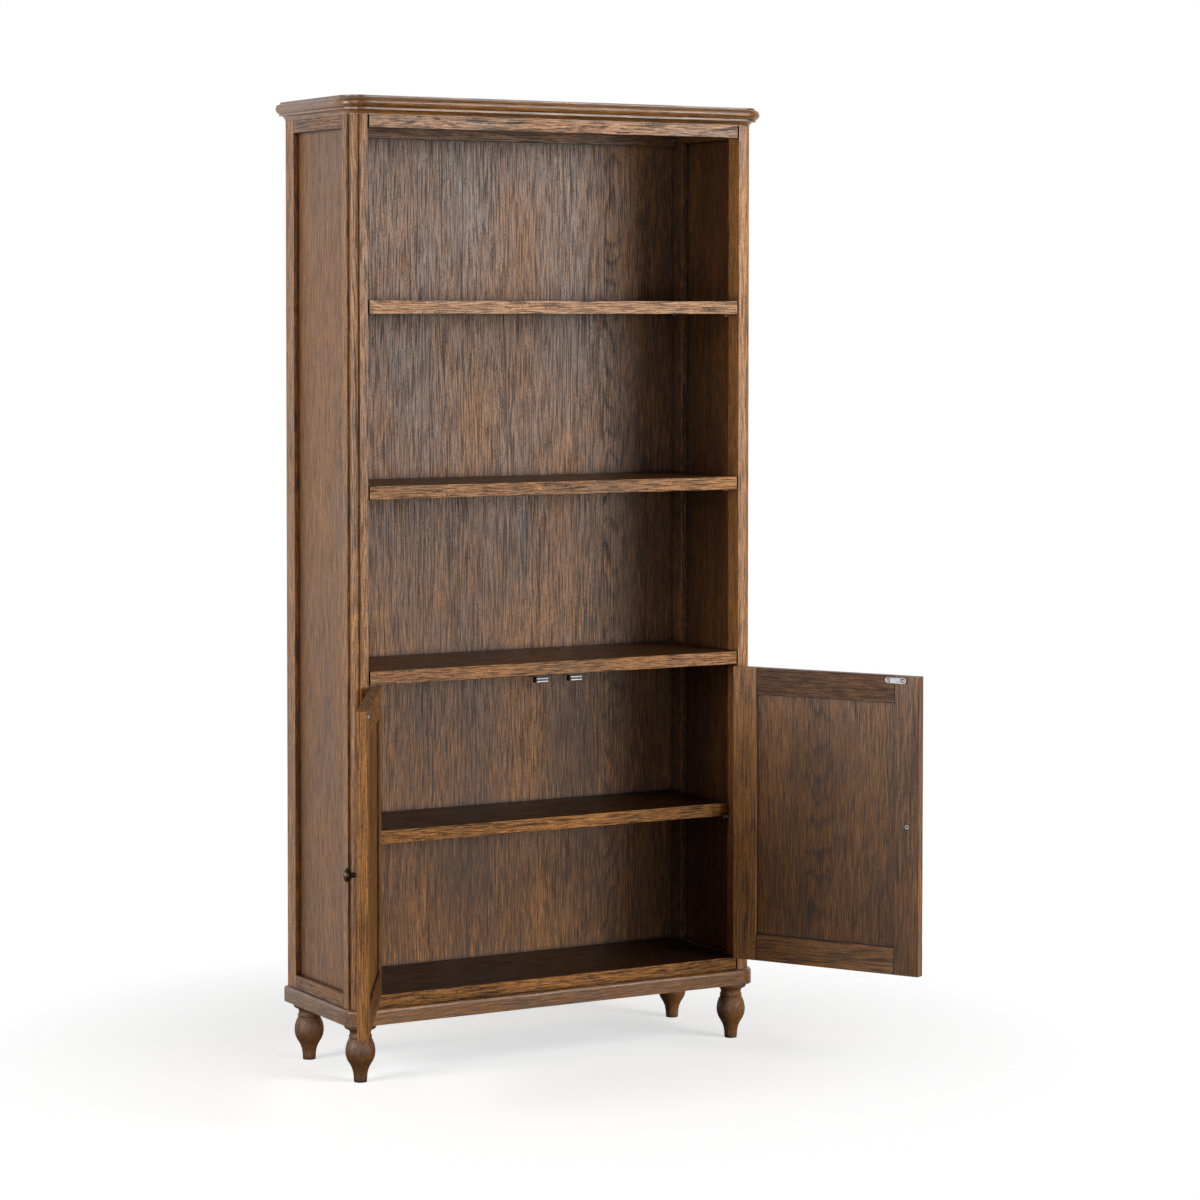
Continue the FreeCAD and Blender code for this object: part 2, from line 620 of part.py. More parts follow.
def side_frame(side, name):
    front_post(side, name)
    rear_stile(side, name)
    for which, bottom, height in SIDE_RAILS:
        side_rail(side, name, which, bottom, height)
    reach = "(sizes.groove_depth - sizes.groove_end_gap)"
    board(f"{name}_side_panel", on_side(side, PANEL_NEAR, PANEL_FAR),
          grown((POST_REAR, STILE_FRONT), reach),
          grown((SIDE_BOTTOM_RAIL_TOP, SIDE_TOP_RAIL_BOTTOM), reach), "z")
    batten = board(f"{name}_rear_batten", on_side(side, HALF_INNER, PANEL_NEAR),
                   (BATTEN_FRONT, STILE_FRONT), (SIDE_BOTTOM_RAIL_TOP, SIDE_TOP_RAIL_BOTTOM), "z")
    pin_holes(batten, side, 1)
    inner_mortise(batten, side, REAR_TENON_YS, tenon_span(SHELF_3_BOTTOM, "sizes.board_thickness"))


def tenoned_board(name, ys, bottom, height, tenon_rows):
    """A board between the side frames, short of them by the shadow gap, on hidden tenons."""
    body = board(name, (minus(BOARD_END), BOARD_END), ys, (bottom, f"({bottom} + {height})"), "x")
    for side, _ in SIDES:
        xs = on_side(side, f"({BOARD_END} - sizes.fit_clearance)",
                     f"({HALF_INNER} + sizes.tenon_length)")
        for row in tenon_rows:
            box(body, "Additive", xs, row, tenon_span(bottom, height))
    return body


def shelves():
    """Two fixed boards, three loose shelves and the pins that they rest on."""
    rear = f"({STILE_FRONT} - sizes.shelf_back_gap)"
    rows = (FRONT_TENON_YS, REAR_TENON_YS)
    tenoned_board("bottom_board", (FRONT, rear), CARCASS_BOTTOM, "sizes.board_thickness", rows)
    fixed = tenoned_board("shelf_3", (FRONT, rear), SHELF_3_BOTTOM, "sizes.board_thickness", rows)
    for side, _ in SIDES:
        for place in catch_screw_places(side):
            rod(fixed, "Subtractive", "z", place, "sizes.screw_length", SCREW_HOLE_RADIUS)
    pins = []
    for name, underside, setback in PINNED_SHELVES:
        board(name, (minus(BOARD_END), BOARD_END), (f"({FRONT} + {setback})", rear),
              (underside, f"({underside} + sizes.board_thickness)"), "x")
        for side, side_name in SIDES:
            for row, depth in enumerate(PIN_ROWS):
                pins.append(shelf_pin(f"{name}_{side_name}_pin_{row}", side, depth, underside))
    group("shelf_pins", pins)


def shelf_pin(name, side, depth, underside):
    """A round pin in the side frame with a flat seat under the shelf."""
    seat_end = f"({BOARD_END} - sizes.pin_seat)"
    start = seat_end if side == RIGHT else minus(f"{HALF_INNER} + sizes.pin_depth")
    height = f"({underside} - {PIN_DROP})"
    shank_length = f"({HALF_INNER} + sizes.pin_depth - {seat_end})"
    shank = loose_rod(f"{name}_shank", "x", (start, depth, height), shank_length,
                      "sizes.pin_diameter / 2")
    seat = loose_box(f"{name}_seat", on_side(side, seat_end, HALF_INNER),
                     (f"({depth} - sizes.pin_seat_width / 2)",
                      f"({depth} + sizes.pin_seat_width / 2)"),
                     (f"({underside} - sizes.pin_seat_thickness)", underside))
    return fused(name, [shank, seat])


def back():
    """Back panel, the rails behind it and the strip in front of it, under the top."""
    reach = f"({HALF_INNER} + sizes.back_rabbet - sizes.fit_clearance)"
    board("back_panel", (minus(reach), reach),
          (STILE_FRONT, f"({STILE_FRONT} + sizes.back_panel_thickness)"),
          (CARCASS_BOTTOM, CARCASS_TOP), "z")
    for which, (bottom, top) in BACK_RAILS:
        xs = (minus(HALF_INNER), HALF_INNER)
        rail = board(f"back_{which}_rail", xs, BACK_RAIL_YS, (bottom, top), "x")
        box(rail, "Additive", grown(xs, "sizes.tenon_length"), BACK_TENON_YS,
            (f"({bottom} + sizes.tenon_shoulder)", f"({top} - sizes.tenon_shoulder)"))
    board("upper_rear_batten", (minus(HALF_INNER), HALF_INNER),
          (f"({STILE_FRONT} - sizes.upper_batten_depth)", STILE_FRONT),
          (f"({CARCASS_TOP} - sizes.upper_batten_height)", CARCASS_TOP), "x")


# Mitred mouldings that wrap the front and both sides. A profile lists points as distance
# outwards from the carcass and height. The corner is an arc about a centre inside it.
MITRE_ANGLE = 45


def front_moulding(name, profile, radii, corner_inset):
    body = new_body(name)
    corner_x = f"({HALF_OUTER} - {corner_inset})"
    corner_y = f"({FRONT} + {corner_inset})"
    points = [(f"({FRONT} - {out})", up) for out, up in profile]
    bends = {number: minus(radius) for number, radius in radii.items()}
    axis = ((corner_y, profile[0][1]), (corner_y, profile[-1][1]))
    straight = new_sketch(body, "YZ_Plane", minus(corner_x))
    outline(straight, points, bends)
    pad(body, straight, f"(2 * {corner_x})")
    for side, _ in SIDES:
        sketch = new_sketch(body, "YZ_Plane", f"({side} * {corner_x})")
        outline(sketch, points, bends)
        turn(body, sketch, axis, MITRE_ANGLE, side == LEFT)
    return body


def side_moulding(side, name, profile, radii, corner_inset, back_end):
    body = new_body(name)
    corner_x = f"({side} * ({HALF_OUTER} - {corner_inset}))"
    corner_y = f"({FRONT} + {corner_inset})"
    points = [(f"({side} * ({HALF_OUTER} + {out}))", up) for out, up in profile]
    bends = {number: f"({side} * {radius})" for number, radius in radii.items()}
    axis = ((corner_x, profile[0][1]), (corner_x, profile[-1][1]))
    straight = new_sketch(body, "XZ_Plane", minus(corner_y))
    outline(straight, points, bends)
    pad(body, straight, f"({back_end} - {corner_y})", backwards=True)
    corner = new_sketch(body, "XZ_Plane", minus(corner_y))
    outline(corner, points, bends)
    turn(body, corner, axis, MITRE_ANGLE, side == RIGHT)
    return body


def cornice():
    """Cove moulding under the top board, and the ceiling board that it frames."""
    cove_end = "(sizes.cove_lip + sizes.cove_width)"
    step_end = f"({cove_end} + sizes.cove_step)"
    lip_top = f"({CARCASS_TOP} + sizes.cove_lip_height)"
    cove_top = f"({lip_top} + sizes.cove_height)"
    inner = minus("sizes.cornice_rail_width")
    profile = [(inner, CARCASS_TOP), ("sizes.cove_lip", CARCASS_TOP), ("sizes.cove_lip", lip_top),
               (cove_end, cove_top), (step_end, cove_top), (step_end, CORNICE_TOP),
               (inner, CORNICE_TOP)]
    hollow = {2: minus("sizes.cove_radius")}
    corner_inset = "(sizes.top_corner_radius - sizes.top_overhang)"
    front_moulding("cornice_front", profile, hollow, corner_inset)
    for side, name in SIDES:
        side_moulding(side, f"cornice_{name}", profile, hollow, corner_inset, BACK)
    reach = f"({HALF_OUTER} - sizes.cornice_rail_width - sizes.fit_clearance)"
    body = board("ceiling_board", (minus(reach), reach),
                 (f"({FRONT} + sizes.cornice_rail_width + sizes.fit_clearance)", BACK),
                 (CARCASS_TOP, CORNICE_TOP), "x")
    clip_corners(body, reach, f"({FRONT} + sizes.cornice_rail_width + sizes.fit_clearance)",
                 "(sizes.top_corner_radius - sizes.top_overhang - sizes.cornice_rail_width)",
                 CARCASS_TOP, CORNICE_TOP)


def clip_corners(body, reach, front, clip, bottom, top):
    """Cut the two front corners off at 45 degrees, clear of the rounded inner mitres."""
    for side, _ in SIDES:
        sketch = new_sketch(body, "XY_Plane", f"({bottom} - sizes.overrun)")
        far = f"({reach} + sizes.overrun)"
        near = f"({front} - sizes.overrun)"
        corners = [(f"({reach} - {clip} - sizes.overrun)", near), (far, near),
                   (far, f"({front} + {clip} + sizes.overrun)")]
        outline(sketch, [(f"({side} * {across})", deep) for across, deep in corners])
        pocket = body.newObject("PartDesign::Pocket", f"{body.Name}_clip")
        pocket.Profile = sketch
        pocket.Reversed = True
        pocket.setExpression("Length", f"({top} - {bottom} + 2 * sizes.overrun)")


def wrapped_outline(overhang, radius):
    """Plan of a board with rounded front corners that overhangs the front and the sides."""
    half = f"({HALF_OUTER} + {overhang})"
    front = f"({FRONT} - {overhang})"
    corners = [(minus(half), BACK), (minus(half), f"({front} + {radius})"),
               (f"({radius} - {half})", front), (f"({half} - {radius})", front),
               (half, f"({front} + {radius})"), (half, BACK)]
    return corners, {1: radius, 3: radius}


def top_board():
    """Top board with a half-round nose and a square fillet over it."""
    body = new_body("top_board")
    overhang = "(sizes.top_overhang + sizes.nose_projection)"
    radius = "(sizes.top_corner_radius + sizes.nose_projection)"
    sketch = new_sketch(body, "XY_Plane", CORNICE_TOP)
    outline(sketch, *wrapped_outline(overhang, radius))
    slab = pad(body, sketch, "sizes.nose_height")
    back_plane = value(BACK)
    upright = runs_along("z")
    nose_round_share = 0.495
    round_edges(body, slab, f"{nose_round_share} * sizes.nose_height",
                lambda edge: not upright(edge)
                and edge.BoundBox.YMin < back_plane - value("sizes.overrun"))
    upper = new_sketch(body, "XY_Plane", f"({CORNICE_TOP} + sizes.nose_height)")
    outline(upper, *wrapped_outline("sizes.top_overhang", "sizes.top_corner_radius"))
    pad(body, upper, "(sizes.top_thickness - sizes.nose_height)")


def plinth():
    """Plinth: a mitred front and sides with rounded corners, a rear rail and corner blocks."""
    outer = "sizes.plinth_proud"
    inner = "(sizes.plinth_proud - sizes.plinth_rail_width)"
    edge = "sizes.plinth_edge_radius"
    profile = [(inner, "sizes.foot_height"), (outer, "sizes.foot_height"),
               (outer, f"({CARCASS_BOTTOM} - {edge})"), (f"({outer} - {edge})", CARCASS_BOTTOM),
               (inner, CARCASS_BOTTOM)]
    rounded = {2: edge}
    corner_inset = "(sizes.plinth_corner_radius - sizes.plinth_proud)"
    front_moulding("plinth_front", profile, rounded, corner_inset)
    for side, name in SIDES:
        side_moulding(side, f"plinth_{name}", profile, rounded, corner_inset, BACK)
    inside = f"({HALF_OUTER} + {inner})"
    rear = (f"({BACK} - sizes.plinth_back_thickness)", BACK)
    board("plinth_back", (minus(inside), inside), rear, ("sizes.foot_height", CARCASS_BOTTOM), "x")
    blocks = []
    for side, name in SIDES:
        xs = on_side(side, f"({inside} - sizes.corner_block_size)", inside)
        front_start = f"({FRONT} - {inner})"
        rows = (("front", (front_start, f"({front_start} + sizes.corner_block_size)")),
                ("rear", (f"({rear[0]} - sizes.corner_block_size)", rear[0])))
        for row, ys in rows:
            blocks.append(corner_block(f"{row}_{name}_block", side, row, xs, ys))
    group("corner_blocks", blocks)


def corner_block(name, side, row, xs, ys):
    """Block that joins two plinth rails and holds the hanger bolt of a foot."""
    zs = ("sizes.foot_height", CARCASS_BOTTOM)
    block = loose_box(f"{name}_blank", xs, ys, zs)
    hole = loose_rod(f"{name}_hole", "z", shifted(foot_place(side, row), "z", "-sizes.overrun"),
                     "(sizes.bolt_in_block + sizes.overrun)",
                     "(sizes.bolt_diameter / 2 + sizes.screw_clearance)")
    corner_x = xs[1] if side == RIGHT else xs[0]
    corner_y = ys[0] if row == "front" else ys[1]
    clip = doc.addObject("Part::Box", f"{name}_clip")
    for size, axis, place in (("Length", "x", corner_x), ("Width", "y", corner_y)):
        clip.setExpression(size, "sizes.corner_block_chamfer * sqrt(2)")
        clip.setExpression(f"Placement.Base.{axis}",
                           place if axis == "x" else f"({place} - sizes.corner_block_chamfer)")
    clip.setExpression("Height", "(sizes.plinth_height + 2 * sizes.overrun)")
    clip.setExpression("Placement.Base.z", "(sizes.foot_height - sizes.overrun)")
    clip.Placement.Rotation = FreeCAD.Rotation(FreeCAD.Vector(0, 0, 1), MITRE_ANGLE)
    return cut(name, block, [hole, clip])


def foot_place(side, row):
    """Where the axis of a foot meets the plinth."""
    depth = f"({FRONT} + sizes.foot_inset)" if row == "front" else f"({BACK} - sizes.foot_inset)"
    return (f"({side} * ({HALF_OUTER} - sizes.foot_inset))", depth, "sizes.foot_height")


def tangent_radius(run, rise):
    """Radius of an arc that starts upright and covers a run and a rise."""
    return f"(({run} ^ 2 + {rise} ^ 2) / (2 * {run}))"


def foot(name, side, row):
    """Turned foot: capping ring, hollow neck with a small ring, bulb and slim toe."""
    ring_share, neck_share, bulb_share, waist_share, toe_share = 0.8, 0.755, 0.523, 0.33, 0.075
    neck_bulge_share = 0.62
    neck_hollow_share = 0.85
    cap = "(sizes.foot_cap_diameter / 2)"
    cap_round = "(sizes.foot_cap_height / 2)"
    neck = "(sizes.foot_neck_diameter / 2)"
    bulb = "(sizes.foot_bulb_diameter / 2)"
    waist = "(sizes.foot_waist_diameter / 2)"
    toe = "(sizes.foot_toe_diameter / 2)"
    top = "sizes.foot_height"
    cap_bottom = f"({top} - sizes.foot_cap_height)"
    ring, ring_bottom, bulb_z, waist_z, toe_z = (
        f"({share} * sizes.foot_height)"
        for share in (ring_share, neck_share, bulb_share, waist_share, toe_share))
    profile = [("0", top), (f"({cap} - {cap_round})", top), (cap, f"({top} - {cap_round})"),
               (f"({cap} - {cap_round})", cap_bottom), (f"({neck} + sizes.foot_neck_step)", cap_bottom),
               (neck, ring), (neck, ring_bottom), (bulb, bulb_z), (waist, waist_z), (toe, toe_z),
               (f"({toe} - sizes.foot_toe_step)", "0"), ("0", "0")]
    radii = {
        1: minus(cap_round),
        2: minus(cap_round),
        4: f"({neck_hollow_share} * ({cap_bottom} - {ring}))",
        5: minus(f"{neck_bulge_share} * ({ring} - {ring_bottom})"),
        6: minus(tangent_radius(f"({bulb} - {neck})", f"({ring_bottom} - {bulb_z})")),
        7: minus(tangent_radius(f"({bulb} - {waist})", f"({bulb_z} - {waist_z})")),
        8: tangent_radius(f"({waist} - {toe})", f"({waist_z} - {toe_z})"),
    }
    body = new_body(name)
    sketch = new_sketch(body, "XZ_Plane")
    outline(sketch, profile, radii)
    turn(body, sketch, (("0", "0"), ("0", top)))
    rod(body, "Subtractive", "z", ("0", "0", f"({top} - sizes.bolt_in_foot)"),
        "(sizes.bolt_in_foot + sizes.overrun)",
        "(sizes.bolt_diameter / 2 + sizes.screw_clearance)")
    place = foot_place(side, row)
    place_at(body, (place[0], place[1], "0"))


def feet():
    bolts = []
    for row in ("front", "rear"):
        for side, name in SIDES:
            foot(f"{row}_{name}_foot", side, row)
            start = shifted(foot_place(side, row), "z", "-sizes.bolt_in_foot")
            bolts.append(loose_rod(f"{row}_{name}_bolt", "z", start,
                                   "(sizes.bolt_in_foot + sizes.bolt_in_block)",
                                   "sizes.bolt_diameter / 2"))
    group("foot_bolts", bolts)


# Hinges. Distances in a door run from the hinge axis: along the door, and across it.
def hang(item, side, name):
    """Place something modelled about the hinge axis on its open door."""
    place_at(item, (f"({side} * {HINGE_AXIS_X})", HINGE_AXIS_Y, "0"),
             f"({side} * sizes.{name}_open_angle)")


def along(side, near, far):
    """Span along a shut door, away from its hinge axis."""
    return on_side(-side, near, far)


LEAF_YS = (f"({DOOR_FACE} + sizes.leaf_setback)",
           f"({DOOR_FACE} + sizes.leaf_setback + sizes.leaf_width)")
LEAF_SPAN = (f"({DOOR_HINGE_EDGE} - sizes.leaf_thickness)", DOOR_HINGE_EDGE)


def leaf_screw_heights():
    spread = "sizes.leaf_screw_spread / 2"
    middles = [f"({bottom} + sizes.hinge_height / 2)" for bottom in HINGE_BOTTOMS]
    return [f"({middle} {sign} {spread})" for middle in middles for sign in "-+"]


def leaf_screw_places(side):
    """Where the screws of the frame leaves enter: flush with the face of the leaf."""
    face = f"({side} * ({HALF_INNER} - sizes.leaf_thickness))"
    depth = f"({HINGE_AXIS_Y} + {middle_of(LEAF_YS)})"
    return [(face, depth, height) for height in leaf_screw_heights()]


def leaf(name, xs, knuckle_numbers, bottom, screw_axis_x):
    """A hinge leaf and its share of the knuckles, about a hinge axis at x = y = 0."""
    pitch = f"(sizes.hinge_height / {KNUCKLES})"
    solids = [loose_box(f"{name}_plate", xs, LEAF_YS, (bottom, f"({bottom} + sizes.hinge_height)"))]
    for number in knuckle_numbers:
        start = f"({bottom} + {number} * {pitch} + sizes.knuckle_gap / 2)"
        height = f"({pitch} - sizes.knuckle_gap)"
        solids.append(loose_rod(f"{name}_knuckle_{number}", "z", ("0", "0", start), height,
                                "sizes.knuckle_radius"))
        solids.append(loose_box(f"{name}_wrap_{number}", xs, ("0", LEAF_YS[1]),
                                (start, f"({start} + {height})")))
    holes = [loose_rod(f"{name}_bore", "z", ("0", "0", f"({bottom} - sizes.overrun)"),
                       "(sizes.hinge_height + 2 * sizes.overrun)",
                       "(sizes.hinge_pin_radius + sizes.pin_running_clearance)")]
    for number, sign in enumerate("-+"):
        height = f"({bottom} + sizes.hinge_height / 2 {sign} sizes.leaf_screw_spread / 2)"
        place = (f"({screw_axis_x} - sizes.overrun)", middle_of(LEAF_YS), height)
        holes.append(loose_rod(f"{name}_hole_{number}", "x", place, "(2 * sizes.overrun)",
                               SCREW_HEAD_HOLE_RADIUS))
    return cut(name, fused(f"{name}_solid", solids), holes)


def hinge_pin(name, bottom):
    """Hinge pin with a button at each end."""
    button = "(sizes.leaf_thickness)"
    shank = loose_rod(f"{name}_shank", "z", ("0", "0", f"({bottom} - {button} / 2)"),
                      f"(sizes.hinge_height + {button})", "sizes.hinge_pin_radius")
    ends = [loose_rod(f"{name}_button_{number}", "z", ("0", "0", start),
                      f"({button} - sizes.knuckle_gap / 2)", "sizes.knuckle_radius")
            for number, start in enumerate((f"({bottom} - {button} + sizes.knuckle_gap / 2)",
                                            f"({bottom} + sizes.hinge_height)"))]
    return fused(name, [shank] + ends)


def frame_leaves():
    """The leaves that stay on the posts, each with its hinge pin."""
    pairs = []
    for side, name in SIDES:
        xs = on_side(side, *LEAF_SPAN)
        items = []
        for number, bottom in enumerate(HINGE_BOTTOMS):
            items.append(leaf(f"{name}_frame_leaf_{number}", xs, FRAME_KNUCKLES, bottom,
                              middle_of(xs)))
            items.append(hinge_pin(f"{name}_hinge_pin_{number}", bottom))
        compound = doc.addObject("Part::Compound", f"{name}_frame_hinges")
        compound.Links = items
        place_at(compound, (f"({side} * {HINGE_AXIS_X})", HINGE_AXIS_Y, "0"))
        pairs.append(compound)
    group("hinge_frame_leaves", pairs)


def catch_xs(side, length):
    return on_side(side, f"({CATCHES[side]} - {length} / 2)", f"({CATCHES[side]} + {length} / 2)")


SHUT_STRIKE_FACE = f"({FRONT} + sizes.door_thickness + sizes.strike_thickness)"
CATCH_FRONT = f"({SHUT_STRIKE_FACE} + sizes.catch_gap + sizes.pole_proud)"
CATCH_MIDDLE = f"({CATCH_FRONT} + sizes.catch_depth / 2)"
CATCH_REACH = "((sizes.catch_length - sizes.catch_depth) / 2)"
POLE_MIDDLES = tuple(f"({SHELF_3_BOTTOM} - sizes.pole_drop {sign} sizes.pole_spacing / 2)"
                     for sign in "-+")


def catch_screw_places(side):
    """Where the two screws of a catch enter the shelf above it."""
    middle = f"({side} * {CATCHES[side]})"
    return [(f"({middle} {sign} {CATCH_REACH})", CATCH_MIDDLE, SHELF_3_BOTTOM) for sign in "-+"]


def catch(side, name):
    """Magnetic catch: a flange with round ends, a body, and slots for two steel poles."""
    body = new_body(f"{name}_catch_body", alone=False)
    middle = f"({side} * {CATCHES[side]})"
    flange_zs = (f"({SHELF_3_BOTTOM} - sizes.catch_flange_height)", SHELF_3_BOTTOM)
    ys = (CATCH_FRONT, f"({CATCH_FRONT} + sizes.catch_depth)")
    flange_xs = (f"({middle} - {CATCH_REACH})", f"({middle} + {CATCH_REACH})")
    box(body, "Additive", flange_xs, ys, flange_zs)
    for place in catch_screw_places(side):
        rod(body, "Additive", "z", (place[0], place[1], flange_zs[0]), "sizes.catch_flange_height",
            "sizes.catch_depth / 2")
    box(body, "Additive", catch_xs(side, "sizes.catch_body_length"), ys,
        (f"({SHELF_3_BOTTOM} - sizes.catch_body_height)", SHELF_3_BOTTOM))
    slot_ys = (f"({CATCH_FRONT} - sizes.overrun)", f"({CATCH_FRONT} + sizes.pole_seat)")
    for height in POLE_MIDDLES:
        box(body, "Subtractive", catch_xs(side, "sizes.pole_length"), slot_ys, pole_zs(height))
    for place in catch_screw_places(side):
        start = (place[0], place[1], f"({flange_zs[0]} - sizes.overrun)")
        rod(body, "Subtractive", "z", start, "(sizes.catch_flange_height + 2 * sizes.overrun)",
            SCREW_HOLE_RADIUS)
    return body


def pole_zs(height):
    return (f"({height} - sizes.pole_height / 2)", f"({height} + sizes.pole_height / 2)")


def catches():
    bodies, poles = [], []
    for side, name in SIDES:
        bodies.append(catch(side, name))
        for number, height in enumerate(POLE_MIDDLES):
            poles.append(loose_box(f"{name}_pole_{number}", catch_xs(side, "sizes.pole_length"),
                                   (f"({CATCH_FRONT} - sizes.pole_proud)",
                                    f"({CATCH_FRONT} + sizes.pole_seat)"), pole_zs(height)))
    group("catch_bodies", bodies)
    group("catch_poles", poles)


def carcass_screws():
    """Screws of the frame leaves, and of the catches, whose heads sit under the flanges."""
    items = []
    for side, name in SIDES:
        for number, place in enumerate(leaf_screw_places(side)):
            items.append(screw(f"{name}_leaf_screw_{number}", "x", place, side))
        for number, (across, deep, _) in enumerate(catch_screw_places(side)):
            flange = f"({SHELF_3_BOTTOM} - sizes.catch_flange_height)"
            head = loose_rod(f"{name}_catch_screw_{number}_head", "z",
                             (across, deep, f"({flange} - sizes.screw_head_height)"),
                             "sizes.screw_head_height", "sizes.screw_head_diameter / 2")
            shank = loose_rod(f"{name}_catch_screw_{number}_shank", "z", (across, deep, flange),
                              "sizes.screw_length", "sizes.screw_diameter / 2")
            items.append(fused(f"{name}_catch_screw_{number}", [head, shank]))
    group("carcass_screws", items)


# Doors
RAIL_SPAN = (f"({DOOR_HINGE_EDGE} + sizes.door_stile_width)",
             f"({DOOR_FREE_EDGE} - sizes.door_stile_width)")
OPENING_ZS = (f"({DOOR_BOTTOM} + sizes.door_rail_height)", f"({DOOR_TOP} - sizes.door_rail_height)")
PANEL_YS = (f"({DOOR_MIDDLE} - sizes.door_panel_thickness / 2)",
            f"({DOOR_MIDDLE} + sizes.door_panel_thickness / 2)")
TENON_YS = (f"({DOOR_MIDDLE} - sizes.door_tenon_thickness / 2)",
            f"({DOOR_MIDDLE} + sizes.door_tenon_thickness / 2)")
DOOR_YS = (DOOR_FACE, DOOR_INSIDE)
DOOR_RAILS = (
    ("top_rail", (OPENING_ZS[1], DOOR_TOP)),
    ("bottom_rail", (DOOR_BOTTOM, OPENING_ZS[0])),
)
KNOB_SPOT = (f"({DOOR_FREE_EDGE} - sizes.knob_inset)", f"({DOOR_BOTTOM} + sizes.knob_rise)")
STRIKE_REACH = "((sizes.strike_length - sizes.strike_height) / 2)"
STRIKE_HEIGHT = f"({SHELF_3_BOTTOM} - sizes.pole_drop)"


def tenon_zs(zs):
    return (f"({zs[0]} + sizes.door_tenon_shoulder)", f"({zs[1]} - sizes.door_tenon_shoulder)")


def door_stile(side, name, which, near, far, inner_edge, inwards):
    """Upright of a door, grooved for the panel and mortised for the rails."""
    body = board(f"{name}_door_{which}_stile", along(side, near, far), DOOR_YS,
                 (DOOR_BOTTOM, DOOR_TOP), "z")
    cuts = [("sizes.groove_depth", grown(PANEL_YS, "sizes.fit_clearance"),
             grown(OPENING_ZS, "sizes.groove_depth"))]
    for _, zs in DOOR_RAILS:
        cuts.append(("(sizes.door_tenon_length + sizes.fit_clearance)",
                     grown(TENON_YS, "sizes.fit_clearance"),
                     grown(tenon_zs(zs), "sizes.fit_clearance")))
    for depth, ys, zs in cuts:
        if inwards > 0:
            span = (f"({inner_edge} - {depth})", f"({inner_edge} + sizes.overrun)")
        else:
            span = (f"({inner_edge} - sizes.overrun)", f"({inner_edge} + {depth})")
        box(body, "Subtractive", along(side, *span), ys, zs)
    return body


def strike_middle(side):
    """Middle of the strike plate along the door, in line with the catch."""
    return f"({HINGE_AXIS_X} - {CATCHES[side]})"


def strike_screw_places(side):
    """Where the screws of the strike plate enter: flush with the face of the plate."""
    face = f"({DOOR_INSIDE} + sizes.strike_thickness)"
    spread = "sizes.strike_screw_spread / 2"
    return [(f"({-side} * ({strike_middle(side)} {sign} {spread}))", face, STRIKE_HEIGHT)
            for sign in "-+"]


def door_leaf_screw_places(side):
    """Where the screws of the door leaves enter: flush with the face of the leaf."""
    face = f"({-side} * {LEAF_SPAN[0]})"
    return [(face, middle_of(LEAF_YS), height) for height in leaf_screw_heights()]


def door(side, name):
    """A framed door: two stiles, two rails, a flat panel, its knob, plate and hinge leaves."""
    hinge_stile = door_stile(side, name, "hinge", DOOR_HINGE_EDGE, RAIL_SPAN[0], RAIL_SPAN[0], 1)
    free_stile = door_stile(side, name, "free", RAIL_SPAN[1], DOOR_FREE_EDGE, RAIL_SPAN[1], -1)
    items = [hinge_stile, free_stile]
    rails = {}
    for which, zs in DOOR_RAILS:
        rail = board(f"{name}_door_{which}", along(side, *RAIL_SPAN), DOOR_YS, zs, "x")
        box(rail, "Additive", grown(along(side, *RAIL_SPAN), "sizes.door_tenon_length"), TENON_YS,
            tenon_zs(zs))
        if which == "top_rail":
            groove = (f"({zs[0]} - sizes.overrun)", f"({zs[0]} + sizes.groove_depth)")
        else:
            groove = (f"({zs[1]} - sizes.groove_depth)", f"({zs[1]} + sizes.overrun)")
        box(rail, "Subtractive", grown(along(side, *RAIL_SPAN), "sizes.overrun"),
            grown(PANEL_YS, "sizes.fit_clearance"), groove)
        rails[which] = rail
        items.append(rail)
    reach = "(sizes.groove_depth - sizes.groove_end_gap)"
    items.append(board(f"{name}_door_panel", grown(along(side, *RAIL_SPAN), reach), PANEL_YS,
                       grown(OPENING_ZS, reach), "z"))
    for place in door_leaf_screw_places(side):
        screw_hole(hinge_stile, "x", place, -side)
    for place in strike_screw_places(side):
        screw_hole(free_stile, "y", place, -1)
        screw_hole(rails["top_rail"], "y", place, -1)
    knob_x = f"({-side} * {KNOB_SPOT[0]})"
    rod(free_stile, "Subtractive", "y", (knob_x, f"({DOOR_FACE} - sizes.overrun)", KNOB_SPOT[1]),
        "(sizes.door_thickness + 2 * sizes.overrun)",
        "(sizes.knob_screw_diameter / 2 + sizes.screw_clearance)")
    items.append(knob(side, name, knob_x))
    items.append(strike_plate(side, name))
    items.append(door_leaves(side, name))
    items.append(door_screws(side, name, knob_x))
    for item in items:
        hang(item, side, name)


